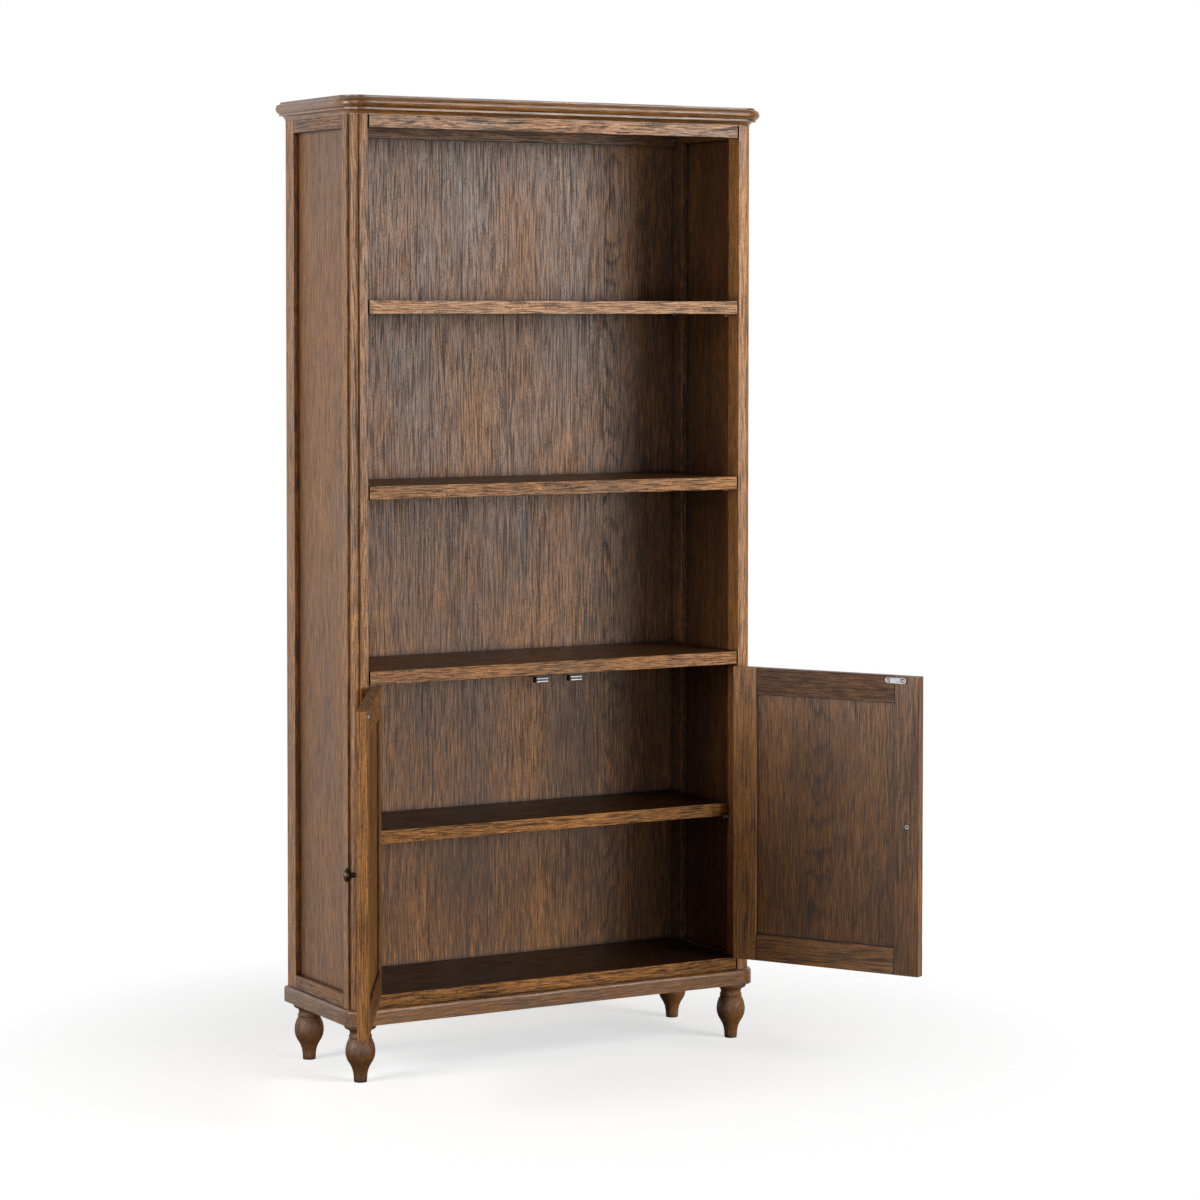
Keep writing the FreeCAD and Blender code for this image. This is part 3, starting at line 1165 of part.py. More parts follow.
def knob(side, name, knob_x):
    """Turned knob: round foot, slim stem and a domed head."""
    stem_share, neck_share, crest_share, shoulder_share = 0.13, 0.43, 0.70, 0.94
    neck_width_share, shoulder_width_share = 0.45, 0.61
    foot_radius = "(sizes.knob_foot_diameter / 2)"
    stem = "(sizes.knob_stem_diameter / 2)"
    head = "(sizes.knob_diameter / 2)"
    neck = f"({neck_width_share} * {head})"
    shoulder = f"({shoulder_width_share} * {head})"
    stem_z, neck_z, crest_z, shoulder_z = (
        f"({share} * sizes.knob_projection)"
        for share in (stem_share, neck_share, crest_share, shoulder_share))
    dome = f"(sizes.knob_projection - {shoulder_z})"
    shape = [("0", "0"), (foot_radius, "0"), (stem, stem_z), (neck, neck_z), (head, crest_z),
             (shoulder, shoulder_z), ("0", "sizes.knob_projection")]
    radii = {
        1: minus(tangent_radius(f"({foot_radius} - {stem})", stem_z)),
        3: tangent_radius(f"({head} - {neck})", f"({crest_z} - {neck_z})"),
        4: tangent_radius(f"({head} - {shoulder})", f"({shoulder_z} - {crest_z})"),
        5: tangent_radius(dome, shoulder),
    }
    body = new_body(f"{name}_knob")
    sketch = new_sketch(body, "XY_Plane", KNOB_SPOT[1])
    points = [(f"({knob_x} + {out})", f"({DOOR_FACE} - {away})") for out, away in shape]
    bends = {number: minus(radius) for number, radius in radii.items()}
    outline(sketch, points, bends)
    turn(body, sketch, (points[-1], points[0]))
    rod(body, "Subtractive", "y", (knob_x, f"({DOOR_FACE} - sizes.knob_screw_grip)", KNOB_SPOT[1]),
        "(sizes.knob_screw_grip + sizes.overrun)",
        "(sizes.knob_screw_diameter / 2 + sizes.screw_clearance)")
    return body


def knob_screw(name, knob_x):
    """Pan-head screw from the inside of the door into the knob."""
    start = (knob_x, f"({DOOR_FACE} - sizes.knob_screw_grip)", KNOB_SPOT[1])
    shank = loose_rod(f"{name}_knob_screw_shank", "y", start,
                      "(sizes.knob_screw_grip + sizes.door_thickness)",
                      "sizes.knob_screw_diameter / 2")
    head = loose_rod(f"{name}_knob_screw_head", "y", (knob_x, DOOR_INSIDE, KNOB_SPOT[1]),
                     "sizes.knob_screw_head_height", "sizes.knob_screw_head_diameter / 2")
    return fused(f"{name}_knob_screw", [shank, head])


def strike_plate(side, name):
    """Steel plate with round ends that meets the poles of the catch."""
    body = new_body(f"{name}_strike_plate")
    middle = strike_middle(side)
    ys = (DOOR_INSIDE, f"({DOOR_INSIDE} + sizes.strike_thickness)")
    box(body, "Additive",
        along(side, f"({middle} - {STRIKE_REACH})", f"({middle} + {STRIKE_REACH})"), ys,
        (f"({STRIKE_HEIGHT} - sizes.strike_height / 2)",
         f"({STRIKE_HEIGHT} + sizes.strike_height / 2)"))
    for sign in "-+":
        end = f"({-side} * ({middle} {sign} {STRIKE_REACH}))"
        rod(body, "Additive", "y", (end, ys[0], STRIKE_HEIGHT), "sizes.strike_thickness",
            "sizes.strike_height / 2")
    for place in strike_screw_places(side):
        rod(body, "Subtractive", "y", (place[0], f"({ys[0]} - sizes.overrun)", place[2]),
            "(sizes.strike_thickness + 2 * sizes.overrun)", SCREW_HEAD_HOLE_RADIUS)
    return body


def door_leaves(side, name):
    xs = along(side, *LEAF_SPAN)
    leaves = [leaf(f"{name}_door_leaf_{number}", xs, DOOR_KNUCKLES, bottom, middle_of(xs))
              for number, bottom in enumerate(HINGE_BOTTOMS)]
    return group(f"{name}_hinge_door_leaves", leaves)


def door_screws(side, name, knob_x):
    items = [knob_screw(name, knob_x)]
    for number, place in enumerate(door_leaf_screw_places(side)):
        items.append(screw(f"{name}_door_leaf_screw_{number}", "x", place, -side))
    for number, place in enumerate(strike_screw_places(side)):
        items.append(screw(f"{name}_strike_screw_{number}", "y", place, -1))
    return group(f"{name}_door_screws", items)


def top_rail():
    tenoned_board("top_rail", (FRONT, f"({FRONT} + sizes.top_rail_depth)"), TOP_RAIL_BOTTOM,
                  "sizes.top_rail_height", (TOP_RAIL_TENON_YS,))


def check_and_export():
    """Stop on any failed feature or bad solid, then write one file for each sub-part."""
    doc.recompute()
    for item in doc.Objects:
        if {"Invalid", "Error"} & set(item.State):
            raise RuntimeError(f"{item.Name} failed: {item.State}")
    for item in sub_parts:
        if item.Shape.isNull() or not item.Shape.isValid() or not item.Shape.Solids:
            raise RuntimeError(f"{item.Label} has no valid solid")
    os.makedirs("parts", exist_ok=True)
    for item in sub_parts:
        item.Shape.exportStep(f"parts/{item.Label}.step")
    print(len(sub_parts), "sub-parts written")


for side, name in SIDES:
    side_frame(side, name)
shelves()
back()
top_rail()
cornice()
top_board()
plinth()
feet()
frame_leaves()
catches()
carcass_screws()
for side, name in SIDES:
    door(side, name)
check_and_export()
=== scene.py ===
import math
import bmesh
import bpy
from mathutils import Matrix, Vector


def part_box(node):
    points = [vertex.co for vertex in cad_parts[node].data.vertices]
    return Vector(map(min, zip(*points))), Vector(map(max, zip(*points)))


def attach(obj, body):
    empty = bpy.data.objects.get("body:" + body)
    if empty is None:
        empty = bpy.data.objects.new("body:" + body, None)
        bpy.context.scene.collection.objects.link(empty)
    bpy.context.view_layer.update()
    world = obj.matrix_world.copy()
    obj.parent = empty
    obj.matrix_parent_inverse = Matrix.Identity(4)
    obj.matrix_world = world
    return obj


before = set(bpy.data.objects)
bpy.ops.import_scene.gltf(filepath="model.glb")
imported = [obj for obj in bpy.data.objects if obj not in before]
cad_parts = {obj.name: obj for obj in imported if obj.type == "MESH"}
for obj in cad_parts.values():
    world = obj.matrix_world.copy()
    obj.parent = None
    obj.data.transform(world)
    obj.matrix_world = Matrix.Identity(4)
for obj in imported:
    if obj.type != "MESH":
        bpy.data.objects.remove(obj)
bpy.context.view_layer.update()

# Camera, as the photograph was taken: 1200 x 1200 pixels, the cabinet seen from its left front.
# The focal length and the height of the optical centre, counted from the top, are in pixels,
# places in metres, angles in degrees, and the sensor's width in millimetres
IMAGE_SIZE = 1200
FOCAL_PIXELS = 3452.28
OPTICAL_CENTRE_Y = 447.04
CAMERA_PLACE = (-3.16365, -5.87866, 1.43179)
CAMERA_YAW, CAMERA_PITCH, CAMERA_ROLL = 29.566, 2.240, 0.040
FARTHEST_SEEN = 60
SENSOR_WIDTH = 36.0

# The doors stand open by these angles about their hinge axes, in degrees
LEFT_OPEN, RIGHT_OPEN = 119.3, 120.5


def camera():
    """The camera at the photograph's angle, with the frame shifted down to the cabinet."""
    data = bpy.data.cameras.new("camera")
    data.sensor_width = SENSOR_WIDTH
    data.sensor_fit = "HORIZONTAL"
    data.lens = FOCAL_PIXELS / IMAGE_SIZE * SENSOR_WIDTH
    data.shift_y = (OPTICAL_CENTRE_Y - IMAGE_SIZE / 2) / IMAGE_SIZE
    data.clip_end = FARTHEST_SEEN
    item = bpy.data.objects.new("camera", data)
    bpy.context.scene.collection.objects.link(item)
    turn = (Matrix.Rotation(math.radians(-CAMERA_YAW), 4, "Z")
            @ Matrix.Rotation(math.radians(90 - CAMERA_PITCH), 4, "X")
            @ Matrix.Rotation(math.radians(CAMERA_ROLL), 4, "Z"))
    item.matrix_world = Matrix.Translation(CAMERA_PLACE) @ turn
    bpy.context.scene.camera = item


class Nodes:
    """Short way to add and join the nodes of one tree."""

    def __init__(self, tree):
        self.tree = tree

    def add(self, kind, inputs=None, **settings):
        """Add a node with some settings, and link or set some of its inputs by name."""
        node = self.tree.nodes.new(kind)
        for name, setting in settings.items():
            setattr(node, name, setting)
        for name, source in (inputs or {}).items():
            self.join(source, node.inputs[name])
        return node

    def join(self, source, socket):
        """Link a node or an output to a socket, or set the socket to a plain value."""
        if isinstance(source, bpy.types.NodeSocket):
            self.tree.links.new(source, socket)
        elif isinstance(source, bpy.types.Node):
            self.tree.links.new(source.outputs[0], socket)
        else:
            socket.default_value = source

    def math(self, operation, *values, clamp=False):
        """A number worked out from others."""
        node = self.add("ShaderNodeMath", operation=operation, use_clamp=clamp)
        for number, source in enumerate(values):
            self.join(source, node.inputs[number])
        return node.outputs[0]

    def vector(self, operation, *values, scale=None):
        """A vector worked out from others, or their length or dot product."""
        node = self.add("ShaderNodeVectorMath", operation=operation)
        for number, source in enumerate(values):
            self.join(source, node.inputs[number])
        if scale is not None:
            self.join(scale, node.inputs["Scale"])
        return node.outputs["Value" if operation in ("LENGTH", "DOT_PRODUCT") else "Vector"]

    def noise(self, place, detail, rough=0.5, scale=1.0, output="Fac"):
        """Noise at a place, as a number or, from the output Color, as three."""
        node = self.add("ShaderNodeTexNoise", {"Vector": place, "Scale": scale,
                                               "Detail": detail, "Roughness": rough})
        return node.outputs[output]

    def stretched(self, place, density):
        """The place in the grain, scaled unevenly, for features that run along it."""
        across, along = density
        return self.vector("MULTIPLY", place, (across, across, along))

    def ramp(self, factor, stops):
        """A colour from a factor, with its stops given as pairs of a place and a colour."""
        node = self.add("ShaderNodeValToRGB", {"Fac": factor})
        elements = node.color_ramp.elements
        while len(elements) < len(stops):
            elements.new(0.5)
        for element, (place, colour) in zip(elements, stops):
            element.position = place
            element.color = (*colour, 1)
        return node.outputs["Color"]

    def span(self, source, low, high, to_low=0.0, to_high=1.0):
        """Map a range to another one, clamped."""
        node = self.add("ShaderNodeMapRange", {"Value": source, "From Min": low,
                                               "From Max": high, "To Min": to_low,
                                               "To Max": to_high})
        return node.outputs["Result"]

    def mix(self, factor, first, second):
        """Mix two colours. A plain second colour is a tuple."""
        node = self.add("ShaderNodeMix", data_type="RGBA")
        self.join(factor, node.inputs["Factor"])
        for name, source in (("A", first), ("B", second)):
            socket = next(s for s in node.inputs if s.name == name and s.type == "RGBA")
            self.join((*source, 1) if isinstance(source, tuple) else source, socket)
        return next(s for s in node.outputs if s.type == "RGBA")

    def bump(self, shader, height, strength, distance):
        """Let a height lean the shader's normal."""
        bump = self.add("ShaderNodeBump", {"Height": height, "Strength": strength,
                                           "Distance": distance})
        self.join(bump, shader.inputs["Normal"])


def new_material(name):
    """A material, its nodes, its shader and the place on the piece in the frame's metres."""
    material = bpy.data.materials.new(name)
    material.use_nodes = True
    n = Nodes(material.node_tree)
    place = n.add("ShaderNodeTexCoord").outputs["Object"]
    return material, n, n.tree.nodes["Principled BSDF"], place


# Stained oak, from rubbed bright to dark; the worn colour is also a painted highlight, and the
# last one the near black of painted shade. All colours are linear
OAK_BRIGHT = (0.780, 0.335, 0.088)
OAK_PALE = (0.470, 0.195, 0.046)
OAK_MID = (0.230, 0.088, 0.017)
OAK_DEEP = (0.095, 0.034, 0.006)
OAK_SHADE = (0.040, 0.014, 0.0025)
# Worn colour of the arrises, also a painted highlight
OAK_WORN_HIGHLIT = (0.450, 0.215, 0.070)
OAK_PORE = (0.010, 0.010, 0.011)
# Near black: painted shade in inside corners, and stain with painted shade along the seams
OAK_STAIN_AND_SHADE = (0.012, 0.005, 0.002)

# Densities of the grain's features, per metre across it and along it
SLOW_WANDER = (5.0, 1.1)
QUICK_WANDER = (70.0, 11.0)
YEARS = (24.0, 5.0)
STREAKS = (520.0, 8.0)
LINES = (560.0, 14.0)
SPECKS = (460.0, 210.0)
FIBRES = (560.0, 30.0)
BANDS = (90.0, 4.0)
CLOUDS = (9.0, 2.2)

# Lengths in the wood, in metres
SLOW_REACH = 0.011
QUICK_REACH = 0.0003
LEAF_WIDTH = 0.168
PITH_DEPTHS = (0.020, 0.075)
RING_SPACING = 0.0046
CROWN_EDGE, CROWN_END = 0.012, 0.040
ARRIS_RADIUS = 0.0016
CORNER_REACH = 0.010
SEAM_START, SEAM_FULL = 0.0024, 0.0011
RELIEF = 0.0004

# How far apart in the tree the pieces are taken, in metres, and after how many the depth repeats
STEP_ACROSS, STEP_DEEP, STEP_ALONG = 0.137, 0.021, 0.771
DEEP_STEPS = 7

# One growth ring, from its porous early wood to its dense late wood and back
WHITE, BLACK = (1, 1, 1), (0, 0, 0)
RING = ((0.0, WHITE), (0.12, WHITE), (0.34, BLACK), (0.88, BLACK), (1.0, WHITE))

# Where the pith lies, in leaf widths, how steeply the rings rise along a board, how many rings
# a run of good or lean years adds, and how much of the rings shows away from the pith
PITH_PLACES = (-0.7, 1.7)
TAPER = 0.080
YEARS_SHIFT = 4.0
PLAIN_SHARE = 0.25

# Levels of its noise where each kind of pore starts and is deepest, how much the early wood
# lifts the noise, and how deep the finer pores get
STREAK_LEVELS, STREAK_LIFT = (0.62, 0.70), 0.14
LINE_LEVELS, LINE_LIFT, LINE_DEPTH = (0.51, 0.635), 0.06, 0.70
SPECK_LEVELS, SPECK_DEPTH = (0.54, 0.70), 0.54

# Shares of fibres, clouded stain and bands in the wood's tone, how much darker the early wood
# is, and how black the pores are
FIBRE_SHARE, CLOUD_SHARE, BAND_SHARE = 0.50, 0.32, 0.13
EARLY_SHARE = 0.03
PORE_STRENGTH = 0.80

# The stain's colour at each tone, and the tone that contrast turns about
STAIN = ((0.22, OAK_SHADE), (0.36, OAK_DEEP), (0.48, OAK_MID), (0.62, OAK_PALE),
         (0.80, OAK_BRIGHT))
MIDDLE_TONE = 0.5

# Levels between which a noise mostly lies
NOISE_SPAN = (0.3, 0.7)

# Roughness between the pores and in them, what the clouds take from it or add, and the
# roughness of a second coat of varnish
PORE_ROUGHNESS = (0.36, 0.60)
CLOUD_ROUGHNESS = (-0.04, 0.05)
COAT_ROUGHNESS = 0.22

# The fibres' height against the pores' depth, and how strongly both lean the surface
FIBRE_HEIGHT = 0.25
BUMP_STRENGTH = 0.35

# Cosines of the rounded normal's lean where an arris starts and where it is fully rubbed and
# carries its painted highlight, heights of the grain between which the rubbing bites, and how
# much of the stain it takes
ARRIS_COSINES = (0.995, 0.86)
RUBBED_HEIGHTS = (-0.6, 0.1)
RUBBED_HIGHLIGHT_SHARE = 0.55

# How open a corner is where its painted shade starts and where it is darkest
CORNER_SHADE_START, CORNER_SHADE_FULL = 0.82, 0.54


def wandering(n, grain):
    """The grain's position, bent as the fibres wander, slowly and more finely at once."""
    bends = []
    for density, detail, reach in ((SLOW_WANDER, 1.0, SLOW_REACH),
                                   (QUICK_WANDER, 2.0, QUICK_REACH)):
        bend = n.noise(n.stretched(grain, density), detail, output="Color")
        bend = n.vector("SUBTRACT", bend, (0.5, 0.5, 0.5))
        bends.append(n.vector("SCALE", bend, scale=reach))
    return n.vector("ADD", grain, n.vector("ADD", *bends))


def early_wood(n, place, figure):
    """The porous part of each growth ring, 0 to 1.

    A panel is veneered in leaves side by side, each cut at its own depth and distance from the
    pith. The figure shows near the pith and fades into plain straight grain beside it.
    """
    parts = n.add("ShaderNodeSeparateXYZ", {"Vector": place})
    leaf_place = n.math("DIVIDE", parts.outputs["X"], LEAF_WIDTH)
    leaf = n.add("ShaderNodeTexWhiteNoise", {"W": n.math("FLOOR", leaf_place)},
                 noise_dimensions="1D")
    own = n.add("ShaderNodeSeparateColor", {"Color": leaf.outputs["Color"]})
    pith = n.span(own.outputs["Red"], 0, 1, *PITH_PLACES)
    off_pith = n.math("SUBTRACT", n.math("FRACT", leaf_place), pith)
    across = n.math("MULTIPLY", off_pith, LEAF_WIDTH)
    depth = n.math("ADD", n.span(own.outputs["Green"], 0, 1, *PITH_DEPTHS), parts.outputs["Y"])
    radius = n.math("SQRT", n.math("ADD", n.math("MULTIPLY", across, across),
                                   n.math("MULTIPLY", depth, depth)))
    rise = n.math("MULTIPLY", parts.outputs["Z"], n.math("MULTIPLY", figure, TAPER))
    rings = n.math("DIVIDE", n.math("SUBTRACT", radius, rise), RING_SPACING)
    years = n.noise(n.stretched(place, YEARS), 1.0)
    rings = n.math("MULTIPLY_ADD", years, YEARS_SHIFT, rings)
    early = n.ramp(n.math("FRACT", rings), RING)
    crown = n.span(n.math("ABSOLUTE", across), CROWN_EDGE, CROWN_END, 1.0, PLAIN_SHARE)
    return n.math("MULTIPLY", early, crown)


def open_pores(n, place, early):
    """Dark streaks that follow the early wood, fine lines between them, and short specks."""
    streaks = n.noise(n.stretched(place, STREAKS), 1.0)
    lines = n.noise(n.stretched(place, LINES), 1.0)
    specks = n.noise(n.stretched(place, SPECKS), 1.0)
    streaks = n.math("ADD", streaks, n.math("MULTIPLY", early, STREAK_LIFT))
    lines = n.math("ADD", lines, n.math("MULTIPLY", early, LINE_LIFT))
    finer = n.math("ADD", n.span(lines, *LINE_LEVELS, 0, LINE_DEPTH),
                   n.span(specks, *SPECK_LEVELS, 0, SPECK_DEPTH), clamp=True)
    return n.math("MAXIMUM", n.span(streaks, *STREAK_LEVELS), finer)


def wood_colour(n, tone, early, contrast, shift):
    """Colour of the stained wood from its tone, more or less contrasted and shifted."""
    tone = n.math("SUBTRACT", tone, n.math("MULTIPLY", early, EARLY_SHARE))
    tone = n.math("MULTIPLY", n.math("SUBTRACT", tone, MIDDLE_TONE), contrast)
    tone = n.math("ADD", n.math("ADD", tone, MIDDLE_TONE), shift)
    return n.ramp(tone, STAIN)


def oak_group():
    """Node group: from a position in the grain (z along it) to colour, roughness and height."""
    tree = bpy.data.node_groups.new("oak", "ShaderNodeTree")
    for name, way, kind in (("Grain", "INPUT", "Vector"), ("Tone", "INPUT", "Float"),
                            ("Contrast", "INPUT", "Float"), ("Figure", "INPUT", "Float"),
                            ("Color", "OUTPUT", "Color"), ("Roughness", "OUTPUT", "Float"),
                            ("Height", "OUTPUT", "Float")):
        tree.interface.new_socket(name, in_out=way, socket_type=f"NodeSocket{kind}")
    n = Nodes(tree)
    start = n.add("NodeGroupInput").outputs
    grain, contrast = start["Grain"], start["Contrast"]
    place = wandering(n, grain)
    early = early_wood(n, place, start["Figure"])
    pores = open_pores(n, place, early)

    fibre = n.noise(n.stretched(place, FIBRES), 1.0, 0.6)
    band = n.noise(n.stretched(place, BANDS), 2.0)
    cloud = n.noise(n.stretched(grain, CLOUDS), 2.0)
    tone = n.math("ADD", n.math("MULTIPLY", fibre, FIBRE_SHARE),
                  n.math("MULTIPLY", cloud, CLOUD_SHARE))
    tone = n.math("ADD", tone, n.math("MULTIPLY", band, BAND_SHARE))
    wood = wood_colour(n, tone, early, contrast, start["Tone"])
    strength = n.math("MULTIPLY", n.math("MULTIPLY", pores, PORE_STRENGTH), contrast, clamp=True)

    end = n.add("NodeGroupOutput").inputs
    n.join(n.mix(strength, wood, OAK_PORE), end["Color"])
    n.join(n.math("ADD", n.span(pores, 0, 1, *PORE_ROUGHNESS),
                  n.span(cloud, *NOISE_SPAN, *CLOUD_ROUGHNESS)), end["Roughness"])
    n.join(n.math("SUBTRACT", n.math("MULTIPLY", fibre, FIBRE_HEIGHT), pores), end["Height"])
    return tree


OAK = oak_group()

# Turns, in degrees, that bring the run of the grain onto z
ALONG = {"x": (0, -90, 0), "y": (90, 0, 0), "z": (0, 0, 0)}


def arris(n, radius, start, full):
    """Where a surface turns over an edge, 0 to 1, between two cosines of the normal's lean."""
    rounded = n.add("ShaderNodeBevel", {"Radius": radius}, samples=4)
    flat = n.add("ShaderNodeNewGeometry").outputs["Normal"]
    return n.span(n.vector("DOT_PRODUCT", rounded.outputs[0], flat), start, full)


def shut_in(n, reach, samples, open_share, shut_share, most):
    """How far a place is shut in by what is near, from 0 up to a given most."""
    air = n.add("ShaderNodeAmbientOcclusion", {"Distance": reach}, samples=samples)
    return n.span(air.outputs["AO"], shut_share, open_share, most, 0.0)


def shade_and_seams(n, laid, corner_shade, seams):
    """Painted shade in inside corners, and dark seams with other pieces: stain and painted shade.
    """
    shade_and_seam_stain = shut_in(n, CORNER_REACH, 4, CORNER_SHADE_START, CORNER_SHADE_FULL, corner_shade)
    parts = n.add("ShaderNodeSeparateXYZ", {"Vector": laid})
    for axis, middle, half in seams:
        off = n.math("ABSOLUTE", n.math("SUBTRACT", parts.outputs[axis], middle))
        seam = n.span(off, half - SEAM_START, half - SEAM_FULL)
        shade_and_seam_stain = n.math("MAXIMUM", shade_and_seam_stain, seam)
    return shade_and_seam_stain


def oak(name, along, seed, turn=0.0, seams=(), tone=0.0, contrast=1.0, rough=1.0, run=1.0,
        lit_front=0.0, corner_shade=0.95, coat=0.0, figure=0.0, shine=0.45):
    """Oak with its grain along an axis, which may be turned about the vertical with a door.

    A seam is an axis, a middle and a half length: where the piece meets its neighbours.
    """
    material, n, shader, place = new_material(name)
    if turn:
        place = n.add("ShaderNodeVectorRotate", {"Vector": place, "Angle": math.radians(-turn)},
                      rotation_type="Z_AXIS").outputs[0]
    angles = tuple(math.radians(a) for a in ALONG[along])
    laid = n.add("ShaderNodeMapping", {"Vector": place, "Rotation": angles}).outputs[0]
    # Each piece comes from another place in the tree
    shift = (STEP_ACROSS * seed, STEP_DEEP * (seed % DEEP_STEPS), STEP_ALONG * seed)
    figured = n.add("ShaderNodeGroup", node_tree=OAK)
    n.join(n.vector("MULTIPLY_ADD", laid, (1, 1, run), shift), figured.inputs["Grain"])
    # Faces across y, the fronts, are painted paler than the rest: painted light on shelves and
    # rails
    normal = n.add("ShaderNodeNewGeometry").outputs["Normal"]
    facing = n.math("ABSOLUTE", n.add("ShaderNodeSeparateXYZ", {"Vector": normal}).outputs["Y"])
    n.join(n.math("MULTIPLY_ADD", facing, lit_front, tone), figured.inputs["Tone"])
    figured.inputs["Contrast"].default_value = contrast
    figured.inputs["Figure"].default_value = figure

    # The stain is rubbed thin on the arrises, and more so between the pores; the paler arrises
    # are also a painted highlight
    height = figured.outputs["Height"]
    wear_and_highlight = n.math("MULTIPLY", arris(n, ARRIS_RADIUS, *ARRIS_COSINES),
                  n.span(height, *RUBBED_HEIGHTS))
    colour = n.mix(n.math("MULTIPLY", wear_and_highlight, RUBBED_HIGHLIGHT_SHARE), figured.outputs["Color"], OAK_WORN_HIGHLIT)
    # Painted shade in the inside corners, and along the seams a dark line of stain and painted
    # shade
    colour = n.mix(shade_and_seams(n, laid, corner_shade, seams), colour, OAK_STAIN_AND_SHADE)
    n.join(colour, shader.inputs["Base Color"])
    n.join(n.math("MULTIPLY", figured.outputs["Roughness"], rough), shader.inputs["Roughness"])
    n.bump(shader, height, BUMP_STRENGTH, RELIEF)
    shader.inputs["Specular IOR Level"].default_value = shine
    shader.inputs["Coat Weight"].default_value = coat
    shader.inputs["Coat Roughness"].default_value = COAT_ROUGHNESS
    return material


def bronze():
    """Dark patinated bronze, rubbed brighter on its edges."""
    material, n, shader, place = new_material("antique_bronze")
    patina = n.noise(place, 5.0, 0.6, scale=220.0)
    specks = n.noise(place, 2.0, scale=1400.0)
    edge = arris(n, 0.0012, 0.99, 0.85)
    dark, brown, rubbed = (0.030, 0.022, 0.016), (0.085, 0.058, 0.036), (0.30, 0.19, 0.10)
    colour = n.ramp(patina, [(0.35, dark), (0.60, brown)])
    n.join(n.mix(n.math("MULTIPLY", edge, 0.6), colour, rubbed), shader.inputs["Base Color"])
    n.join(n.span(patina, *NOISE_SPAN, 0.30, 0.52), shader.inputs["Roughness"])
    n.bump(shader, specks, 0.2, 0.0001)
    shader.inputs["Metallic"].default_value = 1.0
    return material


# Densities of the brushing on steel, per metre across x, y and z: its fine lines lie level
BRUSHING = (300.0, 300.0, 5200.0)


def steel(name, colour=(0.62, 0.62, 0.60), dull=0.32, metal=1.0):
    """Plated steel: finely brushed, faintly clouded, and dark in its corners with painted shade.
    """
    material, n, shader, place = new_material(name)
    cloud = n.noise(place, 3.0, scale=160.0)
    brushed = n.noise(n.vector("MULTIPLY", place, BRUSHING), 2.0)
    dark = tuple(0.72 * c for c in colour)
    # Painted shade: near black where corners and recesses close in
    shade_in_corners = shut_in(n, 0.0035, 6, 0.90, 0.55, 0.95)
    n.join(n.mix(shade_in_corners, n.ramp(cloud, [(0.35, dark), (0.62, colour)]), (0.02, 0.018, 0.016)),
           shader.inputs["Base Color"])
    n.join(n.span(brushed, *NOISE_SPAN, dull - 0.08, dull + 0.12), shader.inputs["Roughness"])
    n.bump(shader, brushed, 0.15, 0.00005)
    shader.inputs["Metallic"].default_value = metal
    return material


def catch_plastic():
    """Dark brown moulded plastic with a fine spark texture."""
    material, n, shader, place = new_material("catch_plastic")
    spark = n.noise(place, 2.0, scale=2400.0)
    cloud = n.noise(place, 2.0, scale=90.0)
    n.join(n.ramp(cloud, [(0.3, (0.018, 0.012, 0.009)), (0.7, (0.034, 0.023, 0.016))]),
           shader.inputs["Base Color"])
    n.join(n.span(spark, *NOISE_SPAN, 0.40, 0.58), shader.inputs["Roughness"])
    n.bump(shader, spark, 0.3, 0.00008)
    return material


# Which way the grain of each wooden piece runs
GRAIN = {
    "x": ("back_bottom_rail", "back_top_rail", "upper_rear_batten", "bottom_board",
          "ceiling_board", "cornice_front", "plinth_front", "plinth_back", "shelf_1", "shelf_2",
          "shelf_3", "shelf_4", "top_board", "top_rail", "corner_blocks"),
    "y": ("cornice_left", "cornice_right", "plinth_left", "plinth_right",
          "left_side_bottom_rail", "left_side_top_rail", "right_side_bottom_rail",
          "right_side_top_rail"),
    "z": ("back_panel", "front_left_foot", "front_right_foot", "rear_left_foot",
          "rear_right_foot", "left_front_post", "right_front_post", "left_rear_batten",
          "right_rear_batten", "left_rear_stile", "right_rear_stile", "left_side_panel",
          "right_side_panel"),
}
DOOR_UPRIGHT = ("free_stile", "hinge_stile", "panel")
DOOR_LEVEL = ("bottom_rail", "top_rail")
BRONZE = ("left_knob", "right_knob")
NICKEL = ("left_strike_plate", "right_strike_plate")
BRIGHT = ("catch_poles", "left_door_screws", "right_door_screws")
STEEL = ("carcass_screws", "foot_bolts", "shelf_pins", "hinge_frame_leaves",
         "left_hinge_door_leaves", "right_hinge_door_leaves")
PLASTIC = ("catch_bodies",)


def dress(node, material):
    """Give a CAD node its material."""
    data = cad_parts[node].data
    data.materials.clear()
    data.materials.append(material)


# Looks of the wood by kind of piece. tone and contrast: of the grain's colour. run: how many
# times shorter the grain's features are along the piece. figure: how much of the growth rings'
# arches shows. The fronts' key: how much paler the faces across y are painted, as painted light.
# rough, coat and shine: of the varnish. The corners' key: how dark the painted shade in the
# inside corners gets
SHEET = {"tone": 0.02, "figure": 1.0}
SIDE = {"tone": 0.025, "contrast": 0.75, "figure": 1.0}
# Painted shade: a darker copy for the right side's inner faces, inside the cabinet
SHADED_INNER = {"tone": -0.05, "contrast": 0.85, "figure": 1.0, "shine": 0.30}
# Painted shade: a darker copy for the ceiling board's underside
SHADED_CEILING = {"tone": -0.18, "contrast": 0.85, "shine": 0.12}
SOLID = {"tone": 0.05, "contrast": 1.1, "run": 1.6}
# Painted light: shelf fronts are painted paler than their tops
SHELF = {"tone": -0.06, "contrast": 1.2, "lit_front": 0.18, "run": 1.6, "figure": 0.2,
         "shine": 0.30}
TOP_SHELF = {**SHELF, "lit_front": 0.28, "shine": 0.45}
